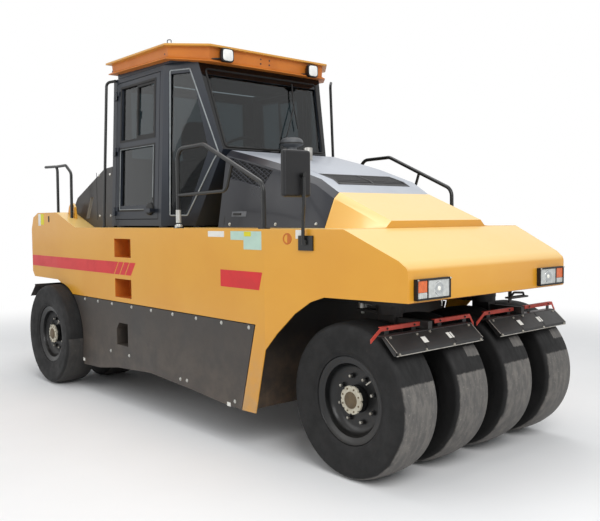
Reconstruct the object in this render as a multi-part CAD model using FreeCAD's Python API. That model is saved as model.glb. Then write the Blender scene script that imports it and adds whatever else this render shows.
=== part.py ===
"""Pneumatic tyre roller: four steered tyres in front, five driven tyres at the rear.

Millimetres. X points forward, Y to the machine's left, Z up from the ground.
Places along X are measured from the front axle; save() moves each piece into the
part's frame, whose origin is on the ground below the middle of the outer box.
"""
import FreeCAD, Part
import math
import os

# Tyres and axles (13/80-20 smooth compactor tyres)
TYRE_RADIUS = 520.0
TYRE_WIDTH = 335.0
RIM_RADIUS = 254.0
FLANGE_RADIUS = 292.0
TYRE_PITCH = 543.0
WHEELBASE = 4190.0
TYRE_CLEAR = 18.0
# Body
BODY_HALF = 1104.0
DECK_Z = 1644.0
PANEL = 8.0
SEAM = 6.0
REAR_END_X = -4980.0
REAR_HALF = 1085.0
REAR_BEND_X = -4240.0
NOSE_BEND_X = -680.0
NOSE_FACE_X = 472.0
NOSE_FACE_HALF = 905.0
NOSE_LOW_Z = 1192.0
SKIRT_TOP_Z = 957.0
# Cab
CAB_REAR_X = -3335.0
CAB_POST_X = -2390.0
CAB_WALL = 45.0
CAB_FLOOR_Z = DECK_Z + 16.0
CAB_TOP_Z = 3085.0
GLASS = 6.0
ROOF_HALF = 950.0
# Hood
HOOD_REAR_X = -1745.0
HOOD_FRONT_X = -520.0
HOOD_SKIN = 20.0
# Tubes
RAIL_RADIUS = 17.0
GAP = 0.3

TAIL_LAMP_OUT = 20.0
FRONT_AXLE_X = (TAIL_LAMP_OUT - REAR_END_X - TYRE_RADIUS) / 2.0
REAR_AXLE_X = -WHEELBASE
FRONT_TYRE_YS = [(i - 1.5) * TYRE_PITCH for i in range(4)]
REAR_TYRE_YS = [(i - 2.0) * TYRE_PITCH for i in range(5)]
KINGPIN_Y = TYRE_PITCH

os.makedirs("parts", exist_ok=True)
Vec = FreeCAD.Vector


def save(name, *solids):
    """Writes one piece, moved from the front axle's frame to the part's."""
    shape = solids[0] if len(solids) == 1 else Part.makeCompound(list(solids))
    shape = shape.copy()
    shape.translate(Vec(FRONT_AXLE_X, 0, 0))
    shape.exportStep("parts/" + name + ".step")


def box(x0, x1, y0, y1, z0, z1):
    return Part.makeBox(x1 - x0, y1 - y0, z1 - z0, Vec(x0, y0, z0))


def face(points):
    return Part.Face(Part.makePolygon(points + points[:1]))


def side_plate(outline, y0, y1):
    """An outline of (x, z) points, drawn out along Y."""
    return face([Vec(x, y0, z) for x, z in outline]).extrude(Vec(0, y1 - y0, 0))


def plan_plate(outline, z0, z1):
    """An outline of (x, y) points, drawn out along Z."""
    return face([Vec(x, y, z0) for x, y in outline]).extrude(Vec(0, 0, z1 - z0))


def cross_plate(outline, x0, x1):
    """An outline of (y, z) points, drawn out along X."""
    return face([Vec(x0, y, z) for y, z in outline]).extrude(Vec(x1 - x0, 0, 0))


def bar_y(x, z, radius, y0, y1):
    return Part.makeCylinder(radius, y1 - y0, Vec(x, y0, z), Vec(0, 1, 0))


def bar_z(x, y, radius, z0, z1):
    return Part.makeCylinder(radius, z1 - z0, Vec(x, y, z0), Vec(0, 0, 1))


def bar_x(y, z, radius, x0, x1):
    return Part.makeCylinder(radius, x1 - x0, Vec(x0, y, z), Vec(1, 0, 0))


def fuse(*shapes):
    whole = shapes[0]
    for shape in shapes[1:]:
        whole = whole.fuse(shape)
    return whole.removeSplitter()


def cut(shape, *tools):
    for tool in tools:
        shape = shape.cut(tool)
    return shape


def mirrored(shape):
    """The same piece on the machine's other side."""
    return shape.mirror(Vec(0, 0, 0), Vec(0, 1, 0))


def spun(profile, x, z):
    """A profile of (y, radius) points turned about an axle along Y."""
    return face([Vec(x, y, z + r) for y, r in profile]).revolve(Vec(x, 0, z), Vec(0, 1, 0), 360)


def tube(points, bend, radius=RAIL_RADIUS):
    """A bent tube: straight runs joined by arcs of the given bend radius."""
    pts = [Vec(*p) for p in points]
    edges, start = [], pts[0]
    for before, corner, after in zip(pts, pts[1:], pts[2:]):
        a = (before - corner).normalize()
        b = (after - corner).normalize()
        half = a.getAngle(b) / 2.0
        back = bend / math.tan(half)
        first, last = corner + a * back, corner + b * back
        middle = corner + (a + b).normalize() * (bend / math.sin(half) - bend)
        edges.append(Part.makeLine(start, first))
        edges.append(Part.Arc(first, middle, last).toShape())
        start = last
    edges.append(Part.makeLine(start, pts[-1]))
    ring = Part.Wire(Part.makeCircle(radius, pts[0], pts[1] - pts[0]))
    return Part.Wire(edges).makePipeShell([ring], True, False)


def loft(sections):
    """Straight-sided loft through closed sections of (x, y, z) points."""
    wires = [Part.makePolygon([Vec(*p) for p in s + s[:1]]) for s in sections]
    return Part.makeLoft(wires, True, True)


# Body plan: half the body's width at each station along X
PLAN = [(REAR_END_X, REAR_HALF), (REAR_BEND_X, BODY_HALF),
        (NOSE_BEND_X, BODY_HALF), (NOSE_FACE_X, NOSE_FACE_HALF)]


def body_half(x):
    for (x0, h0), (x1, h1) in zip(PLAN, PLAN[1:]):
        if x <= x1:
            return h0 + (h1 - h0) * (x - x0) / (x1 - x0)
    return PLAN[-1][1]


def plan_inside(inset):
    """The whole body plan, its sides moved in by inset, as a tall block."""
    right = [(x, -(h - inset)) for x, h in PLAN]
    left = [(x, h - inset) for x, h in reversed(PLAN)]
    return plan_plate(right + left, 0.0, 2500.0)


def plan_strip(outer, inner):
    """The right-hand strip of the body plan between two insets."""
    out = [(x, -(h - outer)) for x, h in PLAN]
    back = [(x, -(h - inner)) for x, h in reversed(PLAN)]
    return plan_plate(out + back, 0.0, 2500.0)


# Body outline seen from the side: the raised rear deck, its slope, and the nose
REAR_DECK_Z = 1803.0
REAR_DECK_X = -4242.0
DECK_START_X = -3777.0
REAR_LOW_Z = 1087.0
NOSE_CREASE_X = 0.0
NOSE_BROW = (407.0, 1450.0)
NOSE_ROUND = (462.0, 1408.0)

# Side panels: yellow, with two step recesses and the front leg
SIDE_OUTLINE = [
    (REAR_END_X, REAR_LOW_Z + 60), (REAR_END_X + 60, REAR_LOW_Z), (-4238, REAR_LOW_Z),
    (-3876, SKIRT_TOP_Z), (-786, SKIRT_TOP_Z), (-961, 302), (-794, 308), (-676, 787),
    (-568, 912), (-407, 1065), (-272, 1154), (-160, NOSE_LOW_Z), (NOSE_FACE_X, NOSE_LOW_Z),
    (NOSE_FACE_X, 1385), NOSE_ROUND, NOSE_BROW, (NOSE_CREASE_X, DECK_Z), (DECK_START_X, DECK_Z),
    (REAR_DECK_X, REAR_DECK_Z), (REAR_END_X + 200, REAR_DECK_Z),
    (REAR_END_X + 60, REAR_DECK_Z - 50), (REAR_END_X, REAR_DECK_Z - 180)]
STEP_X = -2775.0
STEP_WIDTH = 312.0
STEP_DEPTH = 150.0
STEPS = [(1372, 1543), (1000, 1172)]      # low and high edge of each recess

# Space kept round the rear tyres by whatever stands beside them
tyre_space = bar_y(REAR_AXLE_X, TYRE_RADIUS, TYRE_RADIUS + TYRE_CLEAR, -1400, 1400)
side = side_plate(SIDE_OUTLINE, -1300, -700).common(plan_strip(0, PANEL)).cut(tyre_space)
for low, high in STEPS:
    x0, x1 = STEP_X - STEP_WIDTH / 2, STEP_X + STEP_WIDTH / 2
    y0, y1 = -BODY_HALF, -BODY_HALF + STEP_DEPTH
    pocket = box(x0, x1, y0 - 1, y1, low, high)
    well = box(x0 - 5, x1 + 5, y0 + PANEL, y1 + 5, low - 5, high + 5)
    side = fuse(side.cut(pocket), well.cut(pocket))
save("side_panels", side, mirrored(side))

# Skirts: black plates below the yellow sides, with one foot hole each
SKIRT_OUTLINE = [
    (-3870, SKIRT_TOP_Z - SEAM), (-3640, 262), (-3289, 276), (-2912, 332), (-2313, 372),
    (-1668, 339), (-1218, 307), (-970, 302), (-799, SKIRT_TOP_Z - SEAM)]
FOOT_HOLE = [(-2921, 552), (-2706, 552), (-2706, 761), (-2870, 761), (-2921, 700)]
skirt = side_plate(SKIRT_OUTLINE, -BODY_HALF + 1, -BODY_HALF + PANEL)
foot_cup = side_plate([(x + dx, z + dz) for (x, z), (dx, dz) in zip(
    FOOT_HOLE, [(-5, -5), (5, -5), (5, 5), (-5, 5), (-5, 5)])],
    -BODY_HALF + PANEL, -BODY_HALF + STEP_DEPTH)
hole = side_plate(FOOT_HOLE, -BODY_HALF - 1, -BODY_HALF + STEP_DEPTH - 5)
skirt = fuse(cut(skirt, hole, tyre_space), foot_cup.cut(hole))
save("skirts", skirt, mirrored(skirt))

# Deck, rear panel and nose: one sheet bent along the side outline, in three pieces
inner_plan = plan_inside(PANEL + GAP)


def bent_sheet(outer, drop):
    """A sheet whose outer face follows (x, z) points; drop gives its inner face."""
    inner = [(x + dx, z + dz) for (x, z), (dx, dz) in zip(outer, drop)]
    return side_plate(outer + inner[::-1], -1300, 1300).common(inner_plan)


deck = bent_sheet([(DECK_START_X + SEAM, DECK_Z), (NOSE_CREASE_X - SEAM, DECK_Z)],
                  [(0, -PANEL), (0, -PANEL)])
ENGINE_BAY = (-1600.0, -700.0, 480.0)
deck = deck.cut(box(ENGINE_BAY[0], ENGINE_BAY[1], -ENGINE_BAY[2], ENGINE_BAY[2], 1500, 1700))
save("deck_plate", deck)

rear = bent_sheet(
    [(DECK_START_X, DECK_Z), (REAR_DECK_X, REAR_DECK_Z), (REAR_END_X + 200, REAR_DECK_Z),
     (REAR_END_X + 60, REAR_DECK_Z - 50), (REAR_END_X, REAR_DECK_Z - 180),
     (REAR_END_X, REAR_LOW_Z + 60), (REAR_END_X + 60, REAR_LOW_Z)],
    [(0, -PANEL), (0, -PANEL), (0, -PANEL), (4, -PANEL), (PANEL, -2), (PANEL, 2), (4, PANEL)])
save("rear_panel", rear)

nose = bent_sheet(
    [(NOSE_CREASE_X, DECK_Z), NOSE_BROW, NOSE_ROUND, (NOSE_FACE_X, 1385),
     (NOSE_FACE_X, NOSE_LOW_Z), (NOSE_FACE_X - 60, NOSE_LOW_Z)],
    [(-3, -PANEL), (-4, -PANEL), (-7, -4), (-PANEL, 0), (-PANEL, PANEL), (0, PANEL)])
save("nose_cover", nose)

# Chassis frame: two rails, cross beams, bulkheads, the kingpin beam and deck posts
RAIL_Y = 480.0
RAIL_Z = (1130.0, 1330.0)
KINGPIN_LOW_Z = 1095.0
KINGPIN_SLEEVE = 95.0
PIN_RADIUS = 55.0
SEAT_HALF = BODY_HALF - PANEL - GAP
REAR_BULKHEAD = (-3540.0, -3460.0)
FRONT_BULKHEAD = (-905.0, -825.0)
rails = [box(-4700, 300, s * RAIL_Y - 60, s * RAIL_Y + 60, *RAIL_Z) for s in (-1, 1)]
cross = [box(x - 40, x + 40, -w, w, *RAIL_Z) for x, w in ((-4600, 1060), (-2300, 540), (300, 900))]
bulkheads = [box(*REAR_BULKHEAD, -SEAT_HALF, SEAT_HALF, 430, RAIL_Z[1]),
             box(*FRONT_BULKHEAD, -SEAT_HALF, SEAT_HALF, 330, RAIL_Z[1])]
kingpin_beam = box(-140, 140, -KINGPIN_Y - 150, KINGPIN_Y + 150, *RAIL_Z)
sleeves = [bar_z(0, s * KINGPIN_Y, KINGPIN_SLEEVE, KINGPIN_LOW_Z, 1345) for s in (-1, 1)]
posts = [box(x - 30, x + 30, s * RAIL_Y - 30, s * RAIL_Y + 30, RAIL_Z[1], DECK_Z - PANEL - GAP)
         for x in (-3600, -2500, -1700, -620, -150) for s in (-1, 1)]
frame = fuse(*rails, *cross, *bulkheads, kingpin_beam, *sleeves, *posts)
frame = cut(frame, *[bar_z(0, s * KINGPIN_Y, PIN_RADIUS + 0.5, 1000, 1300) for s in (-1, 1)])
save("chassis_frame", frame)

# Ballast box between the bulkheads
BALLAST_HALF = BODY_HALF - PANEL - STEP_DEPTH - 20
BALLAST_Z = (420.0, 990.0)
save("ballast_box", box(REAR_BULKHEAD[1] + GAP, FRONT_BULKHEAD[0] - GAP, -BALLAST_HALF,
                        BALLAST_HALF, *BALLAST_Z))

# Hood: dark tilting shell with a curved top, and the fixed yellow block in front
HOOD_STATIONS = [   # x, half width at the deck, half width at the top, top z
    (HOOD_REAR_X, 750, 645, 2300), (-1350, 722, 617, 2205), (-1100, 704, 600, 2140),
    (-700, 676, 572, 2010), (HOOD_FRONT_X - SEAM, 664, 560, 1905)]
HOOD_LOW_Z = DECK_Z + GAP
SHOULDER = 45.0


def hood_section(x, low_half, top_half, top, low, inset):
    low_half, top_half, top = low_half - inset, top_half - inset, top - inset
    right = [(-low_half, low), (-top_half - 8, top - SHOULDER), (-top_half + SHOULDER, top)]
    return [(x, y, z) for y, z in right] + [(x, -y, z) for y, z in reversed(right)]


def hood_loft(stations, low, inset, lean=0.0):
    return loft([hood_section(x, a, b, t, low, inset) for x, a, b, t in stations])


outer = hood_loft(HOOD_STATIONS, HOOD_LOW_Z, 0.0)
inner = hood_loft(HOOD_STATIONS, HOOD_LOW_Z - 1, HOOD_SKIN)
hood = outer.cut(inner)
GRILLE = (-1120.0, -640.0, 400.0)
grille_cut = box(GRILLE[0], GRILLE[1], -GRILLE[2], GRILLE[2], 1900, 2300)
MESH = [(-1690, 2235), (-1170, 2095), (-1260, 1960), (-1690, 2060)]
mesh_cut = side_plate(MESH, -900, 900)
hood_shell = cut(hood, grille_cut, mesh_cut)
save("hood_shell", hood_shell)


mid_skin = hood_loft(HOOD_STATIONS, HOOD_LOW_Z, 4.0).cut(
    hood_loft(HOOD_STATIONS, HOOD_LOW_Z - 1, HOOD_SKIN - 4.0))
top_grille = mid_skin.common(grille_cut)
side_mesh = mid_skin.common(mesh_cut)
save("hood_grilles", top_grille, *side_mesh.Solids)

FRONT_BLOCK = [(HOOD_FRONT_X, 664, 560, 1905), (-10, 622, 560, DECK_Z + 50)]
block = hood_loft(FRONT_BLOCK, DECK_Z + GAP, 0.0)
block = block.cut(hood_loft([(HOOD_FRONT_X + 20, 664, 560, 1900), (-60, 622, 560, DECK_Z + 75)],
                            DECK_Z, HOOD_SKIN))
save("hood_front_block", block)

# Engine: one plain block on the rails; air cleaner and exhaust tip stand on the hood
save("engine_block", box(-1560, -760, -330, 330, RAIL_Z[1] + GAP, 1940))
PRECLEANER_X = -1660.0
hood_top = outer.copy()
hood_top.translate(Vec(0, 0, GAP))
stem = bar_z(PRECLEANER_X, 0, 45, 2200, 2350).cut(hood_top)
save("air_precleaner", fuse(stem, bar_z(PRECLEANER_X, 0, 104, 2350, 2405),
                            Part.makeCone(104, 60, 34, Vec(PRECLEANER_X, 0, 2405), Vec(0, 0, 1))))
save("exhaust_tip", bar_z(-1440, 0, 38, 2150, 2330).cut(hood_top))

# Cab: a shell lofted through three plans, cut into frame, doors and panes
CAB_STATIONS = [   # z, half width of the sides, x and half width at the front corners
    (CAB_FLOOR_Z, 920, -2170, 700), (2320, 892, -1862, 605), (CAB_TOP_Z, 860, -2070, 710)]


def cab_loft(inset):
    sections = []
    for z, half, front_x, front_half in CAB_STATIONS:
        half, front_half = half - inset, front_half - inset * 0.85
        right = [(CAB_REAR_X + inset, -half), (CAB_POST_X - inset * 0.2, -half),
                 (front_x - inset, -front_half)]
        ring = right + [(x, -y) for x, y in reversed(right)]
        sections.append([(x, y, z) for x, y in ring])
    return loft(sections)


cab_shell = cab_loft(0).cut(cab_loft(CAB_WALL))
pane_skin = cab_loft(CAB_WALL / 2 - GLASS / 2).cut(cab_loft(CAB_WALL / 2 + GLASS / 2))
DOOR_X = (-3255.0, -2450.0)
DOOR_Z = (1725.0, 3035.0)
DOOR_GAP = 6.0
door_zone = box(DOOR_X[0], DOOR_X[1], -1000, -700, DOOR_Z[0], DOOR_Z[1])
door_hole = box(DOOR_X[0] - DOOR_GAP, DOOR_X[1] + DOOR_GAP, -1000, -700,
                DOOR_Z[0] - DOOR_GAP, DOOR_Z[1] + DOOR_GAP)
DOOR_PANES = [(-3160, -2530, 1850, 2400), (-3160, -2530, 2470, 2985)]
door_pane_cuts = [box(x0, x1, -1000, -700, z0, z1) for x0, x1, z0, z1 in DOOR_PANES]
door = cut(cab_shell.common(door_zone), *door_pane_cuts)
HANDLE_X, HANDLE_Z = -2560.0, 1800.0
handle = box(HANDLE_X - 55, HANDLE_X + 55, -965, -935, HANDLE_Z - 18, HANDLE_Z + 18)
handle = fuse(handle, *[box(x - 8, x + 8, -940, -905, HANDLE_Z - 10, HANDLE_Z + 10)
                        for x in (HANDLE_X - 40, HANDLE_X + 40)])
door = fuse(door, handle)
door_glass = [pane_skin.common(c) for c in door_pane_cuts]

# Door hinges: knuckles on an axis that leans with the cab's side
HINGE_X = (DOOR_X[0] - DOOR_GAP / 2)
HINGE_OUT = 12.3
KNUCKLE = 12.0
KNUCKLE_HIGH = 40.0
HINGE_ZS = (1800.0, 2380.0, 2920.0)
side_low, side_high = CAB_STATIONS[0], CAB_STATIONS[-1]
SIDE_LEAN = math.degrees(math.atan2(side_low[1] - side_high[1], side_high[0] - side_low[0]))


def knuckle(z0, x0, x1):
    """One knuckle and its leaf, upright, then leant with the cab's side."""
    wall_y = -side_low[1]
    piece = fuse(bar_z(HINGE_X, wall_y - HINGE_OUT, KNUCKLE, z0, z0 + KNUCKLE_HIGH),
                 box(x0, x1, wall_y - 10, wall_y + 5, z0, z0 + KNUCKLE_HIGH))
    piece.rotate(Vec(0, wall_y, CAB_FLOOR_Z), Vec(1, 0, 0), -SIDE_LEAN)
    return piece


door_knuckles = [knuckle(z, DOOR_X[0], DOOR_X[0] + 55) for z in HINGE_ZS]
frame_knuckles = [knuckle(z - KNUCKLE_HIGH - GAP, DOOR_X[0] - DOOR_GAP - 55, DOOR_X[0] - DOOR_GAP)
                  for z in HINGE_ZS]
door = fuse(door, *door_knuckles)
save("door_right", door)
save("door_right_glass", *door_glass)
save("door_left", mirrored(door))
save("door_left_glass", *[mirrored(g) for g in door_glass])

screen_cut = cross_plate([(-555, 2345), (555, 2345), (635, 2980), (-635, 2980)], -2300, -1700)
quarter_cut = side_plate([(-2335, 1760), (-2215, 1760), (-1985, 2320), (-2130, 3000),
                          (-2335, 3000)], -1000, -640)
rear_cut = box(-3400, -3200, -700, 700, 2330, 2990)
window_cuts = [screen_cut, quarter_cut, mirrored(quarter_cut), rear_cut]
cab_frame = cut(cab_shell, door_hole, mirrored(door_hole), *window_cuts)
cab_feet = [bar_z(x, s * y, 55, DECK_Z + GAP, CAB_FLOOR_Z + 10) for s in (-1, 1)
            for x, y in ((CAB_REAR_X + 80, 840), (CAB_POST_X - 60, 840), (-2250, 620))]
frame_hinges = frame_knuckles + [mirrored(k) for k in frame_knuckles]
save("cab_frame", fuse(cab_frame, *cab_feet, *frame_hinges))
quarter = pane_skin.common(quarter_cut)
save("cab_windows", pane_skin.common(screen_cut), pane_skin.common(rear_cut), quarter,
     mirrored(quarter))

# Cab roof: yellow cap with chamfered front corners and a low crown
def roof_ring(inset, z):
    right = [(-3325 + inset, -ROOF_HALF + inset), (-2230 - inset * 0.4, -ROOF_HALF + inset),
             (-1920 - inset, -680 + inset * 0.4)]
    return [(x, y, z) for x, y in right] + [(x, -y, z) for x, y in reversed(right)]


roof = fuse(loft([roof_ring(0, CAB_TOP_Z + GAP), roof_ring(0, 3205)]),
            loft([roof_ring(0, 3205), roof_ring(35, 3240), roof_ring(180, 3275)]))
save("cab_roof", roof)

# Inside the cab: floor, seat, steering console and wheel
FLOOR_TOP = CAB_FLOOR_Z + 35
floor = cab_loft(CAB_WALL + GAP).common(box(-3400, -2000, -1000, 1000, CAB_FLOOR_Z + 10, FLOOR_TOP))
save("cab_floor", floor)
FLOOR_TOP += GAP
seat_base = box(-3080, -2760, -170, 170, FLOOR_TOP, 2030)
cushion = box(-3110, -2640, -250, 250, 2030, 2150)
backrest = side_plate([(-3110, 2150), (-2990, 2150), (-3070, 2720), (-3180, 2720)], -240, 240)
save("operator_seat", fuse(seat_base, cushion, backrest))
console = side_plate([(-2420, FLOOR_TOP), (-2270, FLOOR_TOP), (-2230, 2150), (-2330, 2300),
                      (-2440, 2240)], -170, 170)
save("steering_console", console)
column = Part.makeCylinder(22, 150, Vec(-2400, 0, 2260), Vec(-0.57, 0, 0.82))
hub_at = Vec(-2400, 0, 2260) + Vec(-0.57, 0, 0.82) * 150
ring = Part.makeTorus(190, 14, hub_at, Vec(-0.57, 0, 0.82))
spokes = [Part.makeCylinder(9, 190, hub_at, d) for d in (
    Vec(0, 1, 0), Vec(0, -1, 0), Vec(-0.82, 0, -0.57))]
save("steering_wheel", fuse(column, ring, *spokes).cut(console))

# Rear cover: black housing behind the cab, standing on the rear deck
cover = side_plate([
    (CAB_REAR_X - 5, DECK_Z + GAP), (CAB_REAR_X - 5, 2245), (-3520, 2232), (-4165, 1955),
    (-4262, 1850), (-4262, REAR_DECK_Z + GAP), (REAR_DECK_X, REAR_DECK_Z + GAP),
    (DECK_START_X, DECK_Z + GAP)], -895, 895)
slot = side_plate([(-3960, 1740), (-3890, 1740), (-3780, 1950), (-3850, 1950)], -1000, -865)
cover = cut(cover, slot, mirrored(slot))
save("rear_cover", cover)

# Rails: guard rails on both deck edges, cab grab rails and rear hand rails
RAIL_SIDE = 1074.0
y = -RAIL_SIDE
guard = fuse(
    tube([(-1844, y, DECK_Z + GAP), (-1844, y, 2292), (-1459, y, 2299), (-715, y, 1965),
          (-711, y, DECK_Z + GAP)], 95),
    tube([(-1844, y, 1916), (-1232, y, 1929), (-1170, y, 2150)], 50, 13))
save("guard_rails", guard, mirrored(guard))
y = -985
grab_right = fuse(tube([(-3290, -850, 3030), (-3400, y, 3030), (-3400, y, DECK_Z + GAP)], 45,
                       14).cut(cab_loft(0)),
                  box(-3420, -3380, y - 20, y + 20, DECK_Z + GAP, DECK_Z + 12))
grab_left = tube([(-2395, 850, 3030), (-2195, 985, 3030), (-2195, 985, 1900),
                  (-2395, 870, 1900)], 45, 14).cut(cab_loft(0))


def rear_deck_z(x):
    """Height of the sloping sheet between the main deck and the raised rear deck."""
    return DECK_Z + (REAR_DECK_Z - DECK_Z) * (DECK_START_X - x) / (DECK_START_X - REAR_DECK_X)


y = -1040
hand = fuse(tube([(-4075, y, rear_deck_z(-4060) - 20), (-4045, y, 2215), (-4235, y, 2290),
                  (-4740, y, 2325)], 60, 15),
            bar_z(-4420, y, 15, REAR_DECK_Z + GAP, 2302))
hand = hand.cut(side_plate([(-4420, REAR_DECK_Z), (REAR_DECK_X, REAR_DECK_Z),
                            (DECK_START_X, DECK_Z), (-4000, DECK_Z - 60), (-4420, DECK_Z - 60)],
                           -1100, -900))
save("hand_rails", grab_right, grab_left, hand, mirrored(hand))

# Lifting lugs on the rear slope, one each side
LUG_X, LUG_Z, LUG_HOLE, LUG_THICK = -4120.0, 1835.0, 30.0, 24.0
LUG_Y = 960.0
lug = side_plate([(LUG_X - 90, rear_deck_z(LUG_X - 90) + GAP), (LUG_X - 70, LUG_Z + 20),
                  (LUG_X - 30, LUG_Z + 62), (LUG_X + 30, LUG_Z + 62), (LUG_X + 70, LUG_Z + 20),
                  (LUG_X + 90, rear_deck_z(LUG_X + 90) + GAP)], -LUG_Y - LUG_THICK, -LUG_Y)
lug = lug.cut(bar_y(LUG_X, LUG_Z, LUG_HOLE, -1100, -800))
save("lifting_lugs", lug, mirrored(lug))

# Mirror on the right side, on an arm from the side panel
MIRROR_X = -300.0
save("mirror_housing", box(MIRROR_X - 25, MIRROR_X + 25, -1245, -1010, 1856, 2167))
foot_y = -body_half(MIRROR_X) - GAP
foot = plan_strip(-12 - GAP, -GAP).common(box(MIRROR_X - 60, MIRROR_X + 60, -1200, -900, 1500, 1600))
arm = fuse(foot,
           tube([(MIRROR_X, foot_y - 30, 1550), (MIRROR_X, foot_y - 30, 1700),
                 (MIRROR_X + 45, -1100, 1800), (MIRROR_X + 45, -1100, 2010)], 40, 12),
           bar_z(MIRROR_X, foot_y - 20, 18, 1540, 1570),
           bar_x(-1100, 2000, 16, MIRROR_X + 25 + GAP, MIRROR_X + 60))
save("mirror_arm", arm)

# Lamps: two headlamps with indicators, work lamps under the roof edge, tail lamps
LAMP_Y, LAMP_Z = 690.0, 1268.0
face_x = NOSE_FACE_X + GAP
lamp = box(face_x, face_x + 22, -LAMP_Y - 165, -LAMP_Y + 165, LAMP_Z - 85, LAMP_Z + 85)
lens = box(face_x + 22 + GAP, face_x + 30, -LAMP_Y - 50, -LAMP_Y + 145, LAMP_Z - 65, LAMP_Z + 65)
turn = box(face_x + 22 + GAP, face_x + 30, -LAMP_Y - 145, -LAMP_Y - 60, LAMP_Z - 20, LAMP_Z + 65)
save("headlamp_frames", lamp, mirrored(lamp))
save("headlamp_lenses", lens, mirrored(lens))
save("turn_lenses", turn, mirrored(turn))
work = [box(-1930, -1905, s * 500 - 60, s * 500 + 60, 3105, 3200) for s in (-1, 1)]
work = [w.cut(loft([roof_ring(0, 3000), roof_ring(0, 3300)])) for w in work]
save("work_lamps", *work)
tail = [box(REAR_END_X - TAIL_LAMP_OUT, REAR_END_X - GAP, s * 780 - 140, s * 780 + 140, 1380, 1480)
        for s in (-1, 1)]
save("tail_lamps", *tail)

# Rear axle: shafts in three bearing legs between the rear tyres
SHAFT = 55.0
LEG_HALF = 40.0
LEG_YS = [-1.5 * TYRE_PITCH, 0.5 * TYRE_PITCH, 1.5 * TYRE_PITCH]
legs = []
for leg_y in LEG_YS:
    plate = side_plate([(REAR_AXLE_X - 90, 430), (REAR_AXLE_X + 90, 430), (REAR_AXLE_X + 170, 1100),
                        (REAR_AXLE_X + 170, RAIL_Z[1]), (REAR_AXLE_X - 170, RAIL_Z[1]),
                        (REAR_AXLE_X - 170, 1100)], leg_y - LEG_HALF, leg_y + LEG_HALF)
    boss = bar_y(REAR_AXLE_X, TYRE_RADIUS, 120, leg_y - LEG_HALF - 15, leg_y + LEG_HALF + 15)
    legs.append(fuse(plate, boss).cut(
        bar_y(REAR_AXLE_X, TYRE_RADIUS, SHAFT + 0.5, leg_y - 100, leg_y + 100)))
axle_tie = box(REAR_AXLE_X - 60, REAR_AXLE_X + 60, LEG_YS[0] - LEG_HALF, LEG_YS[2] + LEG_HALF,
               RAIL_Z[0] + 20, RAIL_Z[1] - 20)
rear_axle = fuse(*legs, axle_tie).cut(frame)
save("rear_axle", *rear_axle.Solids)

# Tyres and rims
BEAD = 118.0
TREAD_HALF = 138.0
TYRE_PROFILE = [(-BEAD, RIM_RADIUS), (-BEAD, FLANGE_RADIUS + 2), (-BEAD - 20, FLANGE_RADIUS + 5),
                (-158, 345), (-TYRE_WIDTH / 2, 405),
                (-TYRE_WIDTH / 2, 462), (-158, 498), (-TREAD_HALF, 515), (0, TYRE_RADIUS),
                (TREAD_HALF, 515), (158, 498), (TYRE_WIDTH / 2, 462), (TYRE_WIDTH / 2, 405),
                (158, 345), (BEAD + 20, FLANGE_RADIUS + 5), (BEAD, FLANGE_RADIUS + 2),
                (BEAD, RIM_RADIUS)]
RIM_PROFILE = [   # barrel, flanges and the dished disc, outer side at negative y
    (-BEAD - 12, FLANGE_RADIUS), (-BEAD - GAP, FLANGE_RADIUS), (-BEAD - GAP, RIM_RADIUS - GAP),
    (BEAD + GAP, RIM_RADIUS - GAP), (BEAD + GAP, FLANGE_RADIUS), (BEAD + 12, FLANGE_RADIUS),
    (BEAD + 12, 240),
    (-10, 236), (-50, 190), (-50, 100), (-70, 92), (-70, SHAFT), (-90, SHAFT), (-90, 75),
    (-80, 105), (-66, 115), (-66, 195), (-26, 240), (-BEAD - 12, 240)]


def tyre_at(x, y):
    shape = spun(TYRE_PROFILE, x, TYRE_RADIUS)
    shape.translate(Vec(0, y, 0))
    return shape


def rim_at(x, y, outward):
    """A rim whose dish opens towards outward (-1 right, 1 left)."""
    shape = spun(RIM_PROFILE, x, TYRE_RADIUS)
    if outward > 0:
        shape = mirrored(shape)
    shape.translate(Vec(0, y, 0))
    return shape


STUB = 52.0
for number, tyre_y in enumerate(FRONT_TYRE_YS, 1):
    leg_y = -KINGPIN_Y if tyre_y < 0 else KINGPIN_Y
    outward = -1 if tyre_y < leg_y else 1
    hub = bar_y(0, TYRE_RADIUS, 62, tyre_y - 100, tyre_y + 60)
    if outward > 0:
        hub = bar_y(0, TYRE_RADIUS, 62, tyre_y - 60, tyre_y + 100)
    rim = fuse(rim_at(0, tyre_y, outward), hub)
    cap = bar_y(0, TYRE_RADIUS, 45, tyre_y + min(outward * 100, outward * 128),
                tyre_y + max(outward * 100, outward * 128))
    rim = fuse(rim, cap)
    bore = bar_y(0, TYRE_RADIUS, STUB / 2 + 10.5, min(leg_y, tyre_y + outward * 85),
                 max(leg_y, tyre_y + outward * 85))
    save(f"front_tyre_{number}", tyre_at(0, tyre_y))
    save(f"front_rim_{number}", rim.cut(bore))

for name, ys, ends in (("right", REAR_TYRE_YS[:3], (-1, 1)), ("left", REAR_TYRE_YS[3:], (-1, 1))):
    tyres = [tyre_at(REAR_AXLE_X, tyre_y) for tyre_y in ys]
    save(f"rear_tyres_{name}", *tyres)
    outward = -1 if name == "right" else 1
    rims = [rim_at(REAR_AXLE_X, tyre_y, outward) for tyre_y in ys]
    low, high = min(ys), max(ys)
    if name == "right":
        shaft = bar_y(REAR_AXLE_X, TYRE_RADIUS, SHAFT, low - 110, high + 160)
    else:
        shaft = bar_y(REAR_AXLE_X, TYRE_RADIUS, SHAFT, low - 160, high + 110)
    save(f"rear_rims_{name}", fuse(shaft, *rims))

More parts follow.
